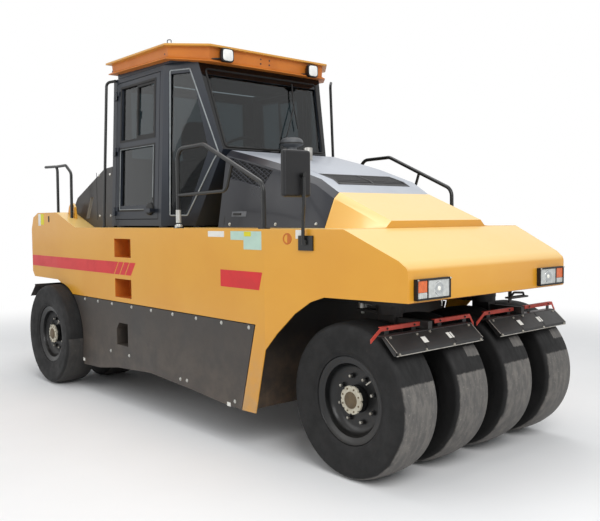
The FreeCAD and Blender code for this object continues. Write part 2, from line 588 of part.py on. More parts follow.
# Front yokes: a kingpin, a leg between each pair of tyres, a stub axle and a steering arm
ARM_X = -260.0
ARM_Z = 1075.0
for name, sign in (("right", -1), ("left", 1)):
    ky = sign * KINGPIN_Y
    yoke = fuse(
        bar_z(0, ky, PIN_RADIUS, KINGPIN_LOW_Z - 10, 1280),
        bar_z(0, ky, 92, 1060, KINGPIN_LOW_Z - GAP),
        box(-75, 75, ky - 45, ky + 45, 430, 1062),
        box(-80, 350, ky - 20, ky + 20, 989.5, 1040),
        box(ARM_X - 35, 0, ky - 35, ky + 35, 1056, ARM_Z),
        bar_y(0, TYRE_RADIUS, STUB / 2 + 10, ky - TYRE_PITCH / 2 - 80, ky + TYRE_PITCH / 2 + 80))
    yoke = yoke.cut(bar_z(ARM_X, ky, 12.5, 1000, 1200))
    save(f"steering_yoke_{name}", yoke)

# Scrapers: a folded plate ahead of each pair, and a red bar over each tyre
SCRAPER_R = 582.0
PLATE_HALF = 440.0


def on_tyre(angle, radius):
    """A point (x, z) over a front tyre, at an angle up from the ground line."""
    a = math.radians(angle)
    return radius * math.cos(a), TYRE_RADIUS + radius * math.sin(a)


for name, sign in (("right", -1), ("left", 1)):
    ky = sign * KINGPIN_Y
    low, high = on_tyre(40, SCRAPER_R + 6), on_tyre(53, SCRAPER_R)
    low_in, high_in = on_tyre(40, SCRAPER_R - 2), on_tyre(53, SCRAPER_R - 8)
    plate = side_plate([low, high, high_in, low_in], ky - PLATE_HALF, ky + PLATE_HALF)
    top = box(high[0] - 60, high[0] + 6, ky - PLATE_HALF, ky + PLATE_HALF, high[1] - 6, high[1] + 4)
    bars = []
    for tyre_y in (ky - TYRE_PITCH / 2, ky + TYRE_PITCH / 2):
        bars.append(box(high[0] - 60, high[0] - 50, tyre_y - 165, tyre_y + 165, high[1] + 4 + GAP,
                        high[1] + 44))
    save(f"scraper_{name}", fuse(top, plate))
    save(f"scraper_bars_{name}", *bars)

# Tie rod between the two steering arms
rod_z = ARM_Z + 22
tie = fuse(bar_y(ARM_X, rod_z, 16, -KINGPIN_Y + 20, KINGPIN_Y - 20),
           bar_z(ARM_X, -KINGPIN_Y, 30, rod_z - 20, rod_z + 20),
           bar_z(ARM_X, KINGPIN_Y, 30, rod_z - 20, rod_z + 20),
           bar_z(ARM_X, -KINGPIN_Y, 12, rod_z - 60, rod_z))
save("tie_rod", tie)

# Rear scrapers behind the rear tyres
rear_scraper = []
for tyre_y in REAR_TYRE_YS:
    low = (REAR_AXLE_X - SCRAPER_R * math.cos(math.radians(40)),
           TYRE_RADIUS + SCRAPER_R * math.sin(math.radians(40)))
    high = (REAR_AXLE_X - SCRAPER_R * math.cos(math.radians(56)),
            TYRE_RADIUS + SCRAPER_R * math.sin(math.radians(56)))
    rear_scraper.append(side_plate([low, high, (high[0] + 8, high[1] + 6), (low[0] + 8, low[1] + 6)],
                                   tyre_y - 165, tyre_y + 165))
hanger = box(REAR_AXLE_X - 345, REAR_AXLE_X - 315, -1240, 1240, 1000, 1030)
beam_face = -4560.0
arms = [box(beam_face + GAP, REAR_AXLE_X - 315, arm_y - 20, arm_y + 20, 1000, 1240)
        for arm_y in (-1.5 * TYRE_PITCH, -0.5 * TYRE_PITCH, 0.5 * TYRE_PITCH, 1.5 * TYRE_PITCH)]
save("rear_scrapers", fuse(hanger, *arms, *rear_scraper))
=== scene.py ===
"""Pneumatic tyre roller: paint, glass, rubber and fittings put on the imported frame.

Metres. X points forward, Y to the machine's left, Z up from the ground. Places along X are
measured from the front axle, and show() moves each piece into the frame.
"""
import math
import random

import bmesh
import bpy
from mathutils import Matrix, Vector


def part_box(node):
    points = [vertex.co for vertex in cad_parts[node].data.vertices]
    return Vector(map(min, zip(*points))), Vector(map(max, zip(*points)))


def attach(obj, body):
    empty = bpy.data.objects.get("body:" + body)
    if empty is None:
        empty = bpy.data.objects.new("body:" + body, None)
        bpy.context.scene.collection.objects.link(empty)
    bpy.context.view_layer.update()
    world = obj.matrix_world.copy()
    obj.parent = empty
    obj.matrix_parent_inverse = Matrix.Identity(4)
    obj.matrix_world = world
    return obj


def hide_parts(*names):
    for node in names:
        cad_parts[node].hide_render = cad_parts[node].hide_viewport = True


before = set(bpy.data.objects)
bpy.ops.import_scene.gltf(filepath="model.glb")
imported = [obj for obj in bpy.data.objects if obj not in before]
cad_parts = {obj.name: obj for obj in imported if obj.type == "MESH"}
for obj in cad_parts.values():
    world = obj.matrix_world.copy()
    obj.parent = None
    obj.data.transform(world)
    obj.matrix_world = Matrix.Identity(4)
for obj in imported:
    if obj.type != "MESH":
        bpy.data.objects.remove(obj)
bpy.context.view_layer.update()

random.seed(9)

# Camera and studio: the machine is seen from its right front corner, the eye just above the
# deck. It stands on a pale floor, under two large soft lamps and an even sky.
tyre_low, tyre_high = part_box("front_tyre_1")
AXLE_X = (tyre_low.x + tyre_high.x) / 2
EYE = Vector((AXLE_X + 3.393, -4.311, 1.715))
YAW, PITCH, ROLL = (math.radians(a) for a in (48.967, -3.262, -0.512))
LENS = 44.22

ahead = Vector((-math.sin(YAW) * math.cos(PITCH), math.cos(YAW) * math.cos(PITCH), math.sin(PITCH)))
level = Vector((math.cos(YAW), math.sin(YAW), 0.0))
plumb = level.cross(ahead)
across = level * math.cos(ROLL) + plumb * math.sin(ROLL)
upward = plumb * math.cos(ROLL) - level * math.sin(ROLL)
camera_data = bpy.data.cameras.new("camera")
camera_data.lens = LENS
camera_data.sensor_width = 36.0
camera_data.sensor_fit = "HORIZONTAL"
camera = bpy.data.objects.new("camera", camera_data)
camera.matrix_world = Matrix((across, upward, -ahead)).transposed().to_4x4()
camera.matrix_world.translation = EYE
bpy.context.scene.collection.objects.link(camera)
bpy.context.scene.camera = camera
bpy.context.scene.view_settings.view_transform = "Standard"

SOFT_LAMPS = [   # name, place, aimed at, width, watts
    ("key_lamp", (8.0, -3.5, 6.5), (0.5, 0.0, 1.2), 5.0, 430.0),
    ("top_lamp", (-0.5, 0.5, 9.0), (0.0, 0.0, 1.5), 7.0, 330.0),
    ("side_lamp", (-3.0, -9.0, 4.5), (-0.5, 0.0, 1.2), 6.0, 150.0)]
for name, place, aim, width, watts in SOFT_LAMPS:
    lamp_data = bpy.data.lights.new(name, "AREA")
    lamp_data.shape = "SQUARE"
    lamp_data.size = width
    lamp_data.energy = watts
    lamp = bpy.data.objects.new(name, lamp_data)
    lamp.location = place
    lamp.rotation_euler = (Vector(aim) - Vector(place)).to_track_quat("-Z", "Y").to_euler()
    bpy.context.scene.collection.objects.link(lamp)


def linear(red, green, blue):
    """A colour given 0 to 255 a channel, as the shader takes it."""
    shares = [c / 255.0 for c in (red, green, blue)]
    return tuple(c / 12.92 if c <= 0.04045 else ((c + 0.055) / 1.055) ** 2.4 for c in shares) + (1.0,)


class Recipe:
    """A material's node graph, mixed step by step."""

    def __init__(self, name, tree=None):
        if tree is None:
            self.material = bpy.data.materials.new(name)
            self.material.use_nodes = True
            tree = self.material.node_tree
        self.tree = tree
        self.shader = tree.nodes.get("Principled BSDF")
        self.place = self.add("TexCoord").outputs["Object"]

    def add(self, kind, inputs=(), **settings):
        node = self.tree.nodes.new("ShaderNode" + kind)
        for key, value in settings.items():
            setattr(node, key, value)
        for key, value in dict(inputs).items():
            if isinstance(value, bpy.types.NodeSocket):
                self.tree.links.new(value, node.inputs[key])
            else:
                node.inputs[key].default_value = value
        return node

    def noise(self, scale, detail=4.0, rough=0.55, place=None):
        return self.add("TexNoise", {"Vector": place or self.place, "Scale": scale, "Detail": detail,
                                     "Roughness": rough}).outputs["Fac"]

    def spread(self, value, low, high, to_low=0.0, to_high=1.0):
        """The value's range from low to high, eased onto another range."""
        return self.add("MapRange", {"Value": value, "From Min": low, "From Max": high,
                                     "To Min": to_low, "To Max": to_high},
                        interpolation_type="SMOOTHSTEP").outputs["Result"]

    def sum(self, operation, *values):
        return self.add("Math", dict(enumerate(values)), operation=operation).outputs[0]

    def blend(self, share, first, second):
        """One colour over another, by a share from 0 to 1."""
        return self.add("Mix", {0: share, 6: first, 7: second}, data_type="RGBA").outputs[2]

    def axes(self):
        return self.add("SeparateXYZ", {0: self.place}).outputs

    def stretched(self, x, y, z):
        """The object's own coordinates, scaled apart on each axis."""
        return self.add("Mapping", {"Vector": self.place, "Scale": (x, y, z)}).outputs["Vector"]

    def bumped(self, *heights):
        """Bumps of (height, strength, distance), one on top of the other."""
        normal = None
        for height, strength, distance in heights:
            inputs = {"Height": height, "Strength": strength, "Distance": distance}
            if normal is not None:
                inputs["Normal"] = normal
            normal = self.add("Bump", inputs).outputs["Normal"]
        self.tree.links.new(normal, self.shader.inputs["Normal"])

    def set(self, **sockets):
        """Fixed numbers, or links, on the shader's own sockets."""
        for key, value in sockets.items():
            socket = self.shader.inputs[key.replace("_", " ")]
            if isinstance(value, bpy.types.NodeSocket):
                self.tree.links.new(value, socket)
            else:
                socket.default_value = value
        return self.material


world = bpy.data.worlds.new("studio_sky")
world.use_nodes = True
bpy.context.scene.world = world
sky = Recipe("sky", world.node_tree)
rays = sky.add("LightPath").outputs
seen = sky.sum("MAXIMUM", sky.sum("MAXIMUM", rays["Is Camera Ray"], rays["Is Glossy Ray"]),
               rays["Is Transmission Ray"])
SKY_LIGHT = 0.5
glow = sky.add("Background", {"Color": (0.94, 0.97, 1.0, 1.0), "Strength": SKY_LIGHT}).outputs[0]
backdrop = sky.add("Background", {"Color": (1.0, 1.0, 1.0, 1.0), "Strength": 1.0}).outputs[0]
lit = sky.add("MixShader", {0: seen, 1: glow, 2: backdrop}).outputs[0]
sky.tree.links.new(lit, world.node_tree.nodes["World Output"].inputs["Surface"])

FLOOR_HALF = 60.0
floor_mesh = bpy.data.meshes.new("floor")
floor_mesh.from_pydata([(x * FLOOR_HALF, y * FLOOR_HALF, 0.0) for x, y in
                        ((-1, -1), (1, -1), (1, 1), (-1, 1))], [], [(0, 1, 2, 3)])
floor = bpy.data.objects.new("floor", floor_mesh)
bpy.context.scene.collection.objects.link(floor)
pale = Recipe("pale_floor")
fade = pale.spread(pale.add("VectorMath", {0: pale.place}, operation="LENGTH").outputs["Value"], 4.5, 9.0)
floor_rays = pale.add("LightPath").outputs
fade = pale.sum("MULTIPLY", fade, floor_rays["Is Camera Ray"])
pale.set(Base_Color=pale.blend(pale.noise(1.2), linear(238, 238, 238), linear(244, 244, 244)),
         Roughness=0.85, Specular_IOR_Level=0.1)
white = pale.add("Emission", {"Color": (1.0, 1.0, 1.0, 1.0), "Strength": 1.0}).outputs[0]
ground = pale.add("MixShader", {0: fade, 1: pale.shader.outputs[0], 2: white}).outputs[0]
pale.tree.links.new(ground, pale.tree.nodes["Material Output"].inputs["Surface"])
floor_mesh.materials.append(pale.material)

# Side panels: 8 mm steel sheet in orange-yellow enamel, pressed with two step pockets and a
# front leg on each side; the pockets are a darker orange inside, painted shade. The edges are
# rolled, dust greys the lowest part, and upward faces are paler, a painted highlight.


class Form:
    """A mesh put together from plain solids; each solid takes a finish by its number."""

    def __init__(self):
        self.mesh = bmesh.new()

    def skin(self, rings, finish=0, loop=False):
        """Faces between rings of points, closed at both ends unless the rings make a loop."""
        rows = [[self.mesh.verts.new(p) for p in ring] for ring in rings]
        faces = []
        for low, high in zip(rows, rows[1:] + (rows[:1] if loop else [])):
            for i, corner in enumerate(low):
                j = (i + 1) % len(low)
                faces.append(self.mesh.faces.new((corner, low[j], high[j], high[i])))
        if not loop:
            faces += [self.mesh.faces.new(rows[0][::-1]), self.mesh.faces.new(rows[-1])]
        for face in faces:
            face.material_index = finish
        bmesh.ops.recalc_face_normals(self.mesh, faces=faces)

    def plate(self, corners, way, finish=0):
        """A flat outline drawn out along a vector."""
        self.skin([corners, [Vector(c) + Vector(way) for c in corners]], finish)

    def block(self, x, y, z, finish=0):
        """A block from a (low, high) pair on each axis."""
        self.plate([(a, b, z[0]) for a, b in oblong(x, y)], (0.0, 0.0, z[1] - z[0]), finish)

    def turned(self, profile, at, way, finish=0, steps=32, phase=0.0, loop=False):
        """A profile of (along, radius) points turned about a line."""
        aim = Vector(way).to_track_quat("Z", "Y")
        rings = []
        for along, radius in profile:
            angles = [phase + 2 * math.pi * i / steps for i in range(steps)]
            rings.append([Vector(at) + aim @ Vector((radius * math.cos(a), radius * math.sin(a), along))
                          for a in angles])
        self.skin(rings, finish, loop)

    def rod(self, path, radius, finish=0, sides=12):
        """A round bar that follows a path of points."""
        points = [Vector(p) for p in path]
        side = None
        rings = []
        for before, point, after in zip(points[:1] + points, points, points[1:] + points[-1:]):
            way = (after - before).normalized()
            side = way.orthogonal() if side is None else side - way * side.dot(way)
            side.normalize()
            other = way.cross(side)
            angles = [2 * math.pi * i / sides for i in range(sides)]
            rings.append([point + (side * math.cos(a) + other * math.sin(a)) * radius for a in angles])
        self.skin(rings, finish)

    def bolt(self, at, way, radius=0.011, finish=0):
        """A hexagon head on a washer."""
        self.turned([(-0.002, radius * 1.5), (0.002, radius * 1.5)], at, way, finish, 16)
        self.turned([(0.0015, radius), (0.007, radius), (0.0085, radius * 0.8)], at, way, finish, 6,
                    random.random())

    def made(self, name, crease):
        mesh = bpy.data.meshes.new(name)
        self.mesh.to_mesh(mesh)
        self.mesh.free()
        crisp(mesh, crease)
        return mesh

    def shown(self, name, body, finishes, stands_for=(), crease=30.0):
        return show(name, self.made(name, crease), body, finishes, stands_for)

    def instead(self, node, body, slot, finishes, crease=30.0):
        """Shown in place of one CAD piece."""
        return self.shown(node + "_finished", body, finishes, (node,), crease)


def bent(path, radius, steps=6):
    """A path of points with an arc of the given radius in place of each inner corner."""
    points = [Vector(p) for p in path]
    out = [points[0]]
    for before, corner, after in zip(points, points[1:], points[2:]):
        a, b = (before - corner).normalized(), (after - corner).normalized()
        half = a.angle(b) / 2
        reach = radius / math.tan(half)
        middle = corner + (a + b).normalized() * (radius / math.sin(half))
        first = (corner + a * reach - middle).normalized()
        last = (corner + b * reach - middle).normalized()
        out += [middle + first.slerp(last, i / steps) * radius for i in range(steps + 1)]
    return out + [points[-1]]


def oblong(across, up):
    """The four corners between two (low, high) pairs."""
    return [(across[0], up[0]), (across[1], up[0]), (across[1], up[1]), (across[0], up[1])]


def closed(corners):
    """The corners as a path that starts and ends in the middle of the last side."""
    middle = (corners[0] + corners[-1]) / 2
    return [middle, *corners, middle]


def span(node):
    """The corners of a CAD piece's box, with x from the front axle."""
    shift = Vector((AXLE_X, 0.0, 0.0))
    return [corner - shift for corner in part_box(node)]


def crisp(mesh, angle):
    """Smooth shading, kept sharp over edges steeper than the angle."""
    mesh.shade_smooth()
    mesh.set_sharp_from_angle(angle=math.radians(angle))


def show(name, mesh, body, finishes, stands_for=(), in_frame=False):
    """Puts a finished mesh into the scene, on the body that carries it."""
    if not in_frame:
        mesh.transform(Matrix.Translation((AXLE_X, 0.0, 0.0)))
    for finish in finishes:
        mesh.materials.append(finish)
    piece = bpy.data.objects.new(name, mesh)
    bpy.context.scene.collection.objects.link(piece)
    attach(piece, body)
    if stands_for:
        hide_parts(*stands_for)
    return piece


def dressed(node, body, finishes, edge=0.003, pick=None, crease=30.0):
    """The CAD piece with its edges rounded, shown in place of the plain solid."""
    form = bmesh.new()
    form.from_mesh(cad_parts[node].data)
    bmesh.ops.remove_doubles(form, verts=form.verts, dist=0.00002)
    bmesh.ops.dissolve_limit(form, angle_limit=math.radians(0.7), verts=form.verts, edges=form.edges,
                             use_dissolve_boundaries=False, delimit=set())
    for face in form.faces:
        face.material_index = pick(face) if pick else 0
    mesh = bpy.data.meshes.new(node + "_finished")
    form.to_mesh(mesh)
    form.free()
    if "custom_normal" in mesh.attributes:
        mesh.attributes.remove(mesh.attributes["custom_normal"])
    crisp(mesh, crease)
    piece = show(node + "_finished", mesh, body, finishes, (node,), in_frame=True)
    return rolled(piece, edge, crease) if edge else piece


def rolled(piece, edge, crease=30.0):
    """Rounds a piece's edges by this much."""
    roll = piece.modifiers.new("rolled_edges", "BEVEL")
    roll.width = edge
    roll.segments = 2
    roll.limit_method = "ANGLE"
    roll.angle_limit = math.radians(crease)
    roll.harden_normals = True
    return piece


def painted(name, colour, mottle, rough, metal=0.0, coat=0.0, cloud=2.0, peel=(260.0, 0.04),
            dirt=None, dirt_top=0.9, dirt_share=0.5, wave=0.0, gloss=0.5, top_highlight=None):
    """Paint or bare metal: clouded colour, uneven gloss, fine peel, dust below, upward faces paler as
    painted highlight.
    """
    mix = Recipe(name)
    clouds = mix.noise(cloud, 5.0)
    colour = mix.blend(mix.spread(clouds, 0.35, 0.7, 0.0, 0.8), linear(*colour), linear(*mottle))
    # Upward faces blend towards a paler colour: a painted highlight for the light from above.
    if top_highlight:
        facing = mix.add("SeparateXYZ", {0: mix.add("TexCoord").outputs["Normal"]}).outputs["Z"]
        colour = mix.blend(mix.spread(facing, 0.1, 0.9, 0.0, 0.6), colour, top_highlight)
    specks = mix.noise(38.0, 6.0, 0.7)
    shine = mix.sum("ADD", mix.spread(clouds, 0.3, 0.7, rough - 0.05, rough + 0.06),
                    mix.spread(specks, 0.45, 0.75, 0.0, 0.06))
    if dirt:
        low = mix.spread(mix.axes()["Z"], dirt_top, 0.0)
        patches = mix.spread(mix.noise(6.0, 8.0, 0.65), 0.35, 0.7)
        share = mix.sum("MULTIPLY", mix.sum("MULTIPLY", low, dirt_share), mix.sum("ADD", patches, 0.35))
        colour = mix.blend(share, colour, dirt)
        shine = mix.sum("MAXIMUM", shine, mix.sum("MULTIPLY", share, 0.9))
    mix.bumped((mix.noise(peel[0], 2.0), peel[1], 0.002), (mix.noise(1.6, 1.0), wave, 0.02))
    return mix.set(Base_Color=colour, Roughness=shine, Metallic=metal, Coat_Weight=coat,
                   Coat_Roughness=0.12, Specular_IOR_Level=gloss)


DUST = linear(150, 138, 118)
# The pale cream that upward faces of the yellow blend towards: a painted highlight.
TOP_HIGHLIGHT_CREAM = linear(252, 224, 150)
yellow = painted("yellow_enamel", (222, 160, 44), (214, 148, 36), 0.36, coat=0.35, cloud=0.8, dirt=DUST,
                 dirt_top=1.0, dirt_share=0.5, wave=0.05, top_highlight=TOP_HIGHLIGHT_CREAM)
# A darker orange for the faces set back in the step pockets and in the dimple: painted shade.
pocket_shade = painted("pocket_painted_shade", (206, 116, 30), (176, 92, 26), 0.5, cloud=5.0)
panel_low, panel_high = span("side_panels")
SIDE_HALF = panel_high.y
REAR_X, NOSE_X = panel_low.x, panel_high.x
REAR_BEND, NOSE_BEND = REAR_X + 0.740, NOSE_X - 1.152
REAR_IN, NOSE_IN = 0.019, 0.199
STEPS_X = (-2.950, -2.600)
# Faces set back inside the step pockets take the darker orange: painted shade.
dressed("side_panels", "chassis", [yellow, pocket_shade], 0.003,
        pick=lambda face: 1 if abs(face.calc_center_median().y) < SIDE_HALF - 0.010
        and STEPS_X[0] < face.calc_center_median().x - AXLE_X < STEPS_X[1] else 0)


def half_at(x):
    """Half the body's width at x, as the side panels are bent."""
    if x < REAR_BEND:
        return SIDE_HALF - REAR_IN * (REAR_BEND - x) / (REAR_BEND - REAR_X)
    if x > NOSE_BEND:
        return SIDE_HALF - NOSE_IN * (x - NOSE_BEND) / (NOSE_X - NOSE_BEND)
    return SIDE_HALF


def on_side(form, corners, side, finish=0, lift=0.0012, sink=0.002):
    """A thin sheet of (x, z) corners lying on a side panel; side is -1 right, 1 left."""
    form.skin([[(x, side * (half_at(x) + out), z) for x, z in corners] for out in (-sink, lift)], finish)


# Livery: cut vinyl film on the yellow sheet. A red stripe runs from the tail to the steps, cut
# three times near its slanted end, and a red panel stands ahead of the bare name place.
STRIPE_Z = (1.212, 1.330)
STRIPE_SLANT = 0.090
STRIPE_RUNS = [(REAR_X + 0.012, REAR_BEND), (REAR_BEND, -2.860), (-2.845, -2.755), (-2.740, -2.650),
               (-2.635, -2.531)]
PANEL_X, PANEL_Z = (-1.212, -0.700), (1.208, 1.336)
film_red = painted("film_red", (214, 20, 24), (198, 16, 22), 0.34, coat=0.2, cloud=5.0)
film_white = painted("film_white", (232, 230, 222), (214, 212, 206), 0.45, cloud=8.0)
film_mint = painted("film_mint", (186, 214, 198), (176, 204, 190), 0.45, cloud=8.0)
film_yellow = painted("film_yellow", (224, 216, 36), (214, 204, 30), 0.45, cloud=8.0)
for side, word in ((-1, "right"), (1, "left")):
    film = Form()
    for number, (back, front) in enumerate(STRIPE_RUNS):
        lean_back = STRIPE_SLANT if number > 1 else 0.0
        lean_front = STRIPE_SLANT if number > 0 else 0.0
        on_side(film, [(back - lean_back, STRIPE_Z[0]), (front - lean_front, STRIPE_Z[0]),
                       (front, STRIPE_Z[1]), (back, STRIPE_Z[1])], side)
    on_side(film, [(PANEL_X[0], PANEL_Z[0]), (PANEL_X[1] - 0.038, PANEL_Z[0]), (PANEL_X[1], PANEL_Z[1]),
                   (PANEL_X[0], PANEL_Z[1])], side)
    film.shown("livery_" + word, "chassis", [film_red])

# Blank labels, right side only: printed film on the real machine, left plain here. The mint one
# has a yellow patch on it; small white ones sit on the tail, the nose and the skirt.
LABELS = [   # finish number, x low, x high, z low, z high, lift
    (0, -1.372, -1.159, 1.581, 1.625, 0.0012), (1, -1.075, -0.914, 1.562, 1.627, 0.0012),
    (1, -0.914, -0.705, 1.495, 1.627, 0.0013), (2, -0.908, -0.825, 1.590, 1.624, 0.0022),
    (0, -0.392, -0.320, 1.579, 1.638, 0.0012), (0, -4.763, -4.690, 1.660, 1.790, 0.0012),
    (2, -4.690, -4.600, 1.672, 1.790, 0.0013), (0, -1.150, -1.105, 0.300, 0.330, 0.0012),
    (0, -3.660, -3.620, 0.296, 0.326, 0.0012)]
labels = Form()
for finish, x_low, x_high, z_low, z_high, lift in LABELS:
    on_side(labels, oblong((x_low, x_high), (z_low, z_high)), -1, finish, lift)
labels.shown("blank_labels", "chassis", [film_white, film_mint, film_yellow])

# Deck, rear panel and nose: the same sheet bent over the machine from the nose's lip to the
# tail. The walkways have a sanded grip coat, laid on in two strips.
dressed("nose_cover", "chassis", [yellow], 0.003, crease=50.0)
dressed("rear_panel", "chassis", [yellow], 0.003)
dressed("deck_plate", "chassis", [yellow], 0.0)
grip = painted("grip_coat", (196, 150, 66), (176, 134, 60), 0.85, peel=(420.0, 0.6), cloud=3.0)
deck_z = span("deck_plate")[1].z
GRIP_X, GRIP_Y = (-2.300, -0.750), (0.790, 1.050)
grips = Form()
for side in (-1, 1):
    grips.block(GRIP_X, sorted((side * GRIP_Y[0], side * GRIP_Y[1])), (deck_z - 0.001, deck_z + 0.0015))
grips.shown("grip_strips", "chassis", [grip])

# Side fittings: a tie-down slot lined with black rubber, a round dimple ahead of the labels,
# darker orange as painted shade, and the nose's lower lip, which is bare primer where the paint thins.
rubber_black = painted("moulded_rubber", (22, 22, 22), (32, 31, 30), 0.65, peel=(300.0, 0.1))
primer = painted("primer", (176, 92, 58), (150, 76, 48), 0.6, cloud=6.0)
SLOT_X, SLOT_Z = (-4.470, -4.435), (1.700, 1.765)
DIMPLE = (-0.466, 1.577)
fittings = Form()
for side in (-1, 1):
    on_side(fittings, oblong(SLOT_X, SLOT_Z), side)
    ring = [(0.0, 0.040), (0.003, 0.038), (0.003, 0.030), (-0.004, 0.028)]
    # The dimple is in the darker orange of painted shade.
    fittings.turned(ring, (DIMPLE[0], side * half_at(DIMPLE[0]), DIMPLE[1]), (0.17, side, 0.0), 1, 28)
lip_low = span("nose_cover")[0].z
fittings.block((NOSE_X - 0.058, NOSE_X - 0.006), (-0.895, 0.895), (lip_low - 0.002, lip_low + 0.004), 2)
fittings.shown("side_fittings", "chassis", [rubber_black, pocket_shade, primer])

# Skirts: thinner black plates bolted below the yellow sides with zinc bolts, dull with road
# dust, each with a foot hole for climbing up.
skirt_black = painted("skirt_enamel", (47, 44, 42), (60, 54, 49), 0.5, cloud=1.4,
                      dirt=linear(108, 96, 84), dirt_top=1.2, dirt_share=0.4, wave=0.04)
dressed("skirts", "chassis", [skirt_black], 0.002)
zinc = painted("zinc_plate", (206, 206, 200), (176, 176, 172), 0.32, metal=0.7, cloud=14.0)
SKIRT_TOP_XS = (-3.585, -3.296, -3.002, -2.622, -2.272, -1.917, -1.561, -1.211, -0.865)
SKIRT_TOP_Z = 0.928
SKIRT_LOW_BOLTS = [(-3.046, 0.475), (-2.685, 0.475), (-1.811, 0.398), (-1.711, 0.402), (-1.049, 0.350)]
skirt_bolts = Form()
for side in (-1, 1):
    for x, z in [(x, SKIRT_TOP_Z) for x in SKIRT_TOP_XS] + SKIRT_LOW_BOLTS:
        skirt_bolts.bolt((x, side * (SIDE_HALF - 0.001), z), (0.0, side, 0.0), 0.010)
skirt_bolts.shown("skirt_bolts", "chassis", [zinc])

# Chassis, ballast, axle and engine: welded steel in black, dusty low down. Rubber hoses run
# along the rails, and a small bracket and a pin hang below the nose.
chassis_black = painted("chassis_enamel", (34, 33, 33), (48, 42, 38), 0.55, cloud=3.0,
                        dirt=linear(104, 84, 64), dirt_top=1.2, dirt_share=0.6)
for node in ("chassis_frame", "ballast_box", "rear_axle", "rear_scrapers"):
    dressed(node, "chassis", [chassis_black], 0.003)
BEAM_BACK, BEAM_LOW, BEAM_LIFTED = AXLE_X + 0.255, 1.190, 1.215
for corner in bpy.data.objects["chassis_frame_finished"].data.vertices:
    if corner.co.x > BEAM_BACK and corner.co.z < BEAM_LOW:
        corner.co.z = BEAM_LIFTED
engine_grey = painted("engine_enamel", (96, 100, 104), (70, 70, 70), 0.5, cloud=5.0)
dressed("engine_block", "chassis", [engine_grey], 0.01)
for side in ("right", "left"):
    dressed("steering_yoke_" + side, side + "_yoke", [chassis_black], 0.004)
dressed("tie_rod", "steering_link", [zinc], 0.002)
RAIL_TOP, RAIL_OUT = 1.330, 0.540
hoses = Form()
for offset in (0.0, 0.032, 0.064):
    for side in (-1, 1):
        y = side * (RAIL_OUT + 0.018)
        z = RAIL_TOP - 0.040 - offset
        hoses.rod(bent([(-3.35, y, z), (-2.0, y, z - 0.012), (-0.95, y, z)], 0.5), 0.013)
hoses.shown("frame_hoses", "chassis", [rubber_black], crease=60.0)
under = Form()
BRACKET_LOOP = [(0.400, 0.300, 1.135), (0.410, 0.330, 1.168), (0.415, 0.440, 1.160), (0.405, 0.468, 1.130)]
HANGING_PIN = [(0.398, -0.50, 1.214), (0.402, -0.49, 1.165), (0.385, -0.47, 1.140)]
under.block((0.380, 0.392), (0.300, 0.330), (1.095, 1.214))
under.block((0.384, 0.440), (0.255, 0.470), (1.128, 1.140))
under.rod(bent(BRACKET_LOOP, 0.01, 3), 0.008)
under.rod(bent(HANGING_PIN, 0.012, 3), 0.005, 1)
under.shown("nose_fittings", "chassis", [chassis_black, zinc])

# Hood: a dark tilting steel cover with a silver top, a slatted grille let into the top, a wire
# mesh, a flush latch and a seam in each side. The fixed yellow block stands before it.
hood_dark = painted("hood_enamel", (18, 20, 28), (24, 27, 36), 0.32, coat=0.15, wave=0.01, gloss=0.4)
hood_silver = painted("hood_silver", (168, 173, 182), (182, 186, 192), 0.38, metal=0.2)
dressed("hood_shell", "hood", [hood_dark, hood_silver], 0.004,
        pick=lambda face: 1 if face.normal.z > 0.6 and abs(face.normal.y) < 0.3
        and face.calc_center_median().z > 1.8 else 0)
mesh_grey = painted("mesh_plate", (58, 60, 66), (46, 48, 54), 0.45, metal=0.3, cloud=9.0)
grille_black = painted("grille_enamel", (24, 24, 26), (34, 34, 36), 0.5)
HOOD_TOP = [(-1.745, 2.300), (-1.350, 2.205), (-1.100, 2.140), (-0.700, 2.010), (-0.526, 1.905)]


def hood_top_z(x):
    """The height of the hood's top sheet at x."""
    for (x0, z0), (x1, z1) in zip(HOOD_TOP, HOOD_TOP[1:]):
        if x <= x1:
            return z0 + (z1 - z0) * (x - x0) / (x1 - x0)
    return HOOD_TOP[-1][1]


dressed("hood_front_block", "chassis", [yellow], 0.004)
HOOD_LOW, HOOD_FOOT_HALF, HOOD_FRONT_HALF = 1.6443, 0.750, 0.664
HOOD_BACK_X, HOOD_NOSE_X = -1.745, -0.526
HOOD_LEAN = 0.100


def hood_side(x, z, out=0.0):
    """A point on the hood's right side sheet, at x and z, moved out by this much."""
    share = (x - HOOD_BACK_X) / (HOOD_NOSE_X - HOOD_BACK_X)
    foot = HOOD_FOOT_HALF + (HOOD_FRONT_HALF - HOOD_FOOT_HALF) * share
    rise = (z - HOOD_LOW) / (2.255 - 0.395 * share - HOOD_LOW)
    return Vector((x, -(foot - HOOD_LEAN * rise + out), z))


def hood_points(corners, side, out=0.0):
    """The (x, z) corners as points on one side of the hood."""
    return [Vector((p.x, side * -p.y, p.z)) for p in (hood_side(x, z, out) for x, z in corners)]


def on_hood(form, corners, side, finish=0, lift=0.002, sink=0.003):
    """A thin sheet of (x, z) corners on one side of the hood."""
    form.skin([hood_points(corners, side, out) for out in (-sink, lift)], finish)


def hood_strip(form, xs, ys, finish, low, high):
    """A flat bar on the hood's top sheet between these x and y, from low to high about it."""
    stops = [xs[0]] + [x for x, z in HOOD_TOP if xs[0] < x < xs[1]] + [xs[1]]
    form.skin([[(x, ys[0], hood_top_z(x) + low), (x, ys[1], hood_top_z(x) + low),
                (x, ys[1], hood_top_z(x) + high), (x, ys[0], hood_top_z(x) + high)] for x in stops], finish)


MESH_HOLE = [(-1.690, 2.235), (-1.170, 2.095), (-1.260, 1.960), (-1.690, 2.060)]


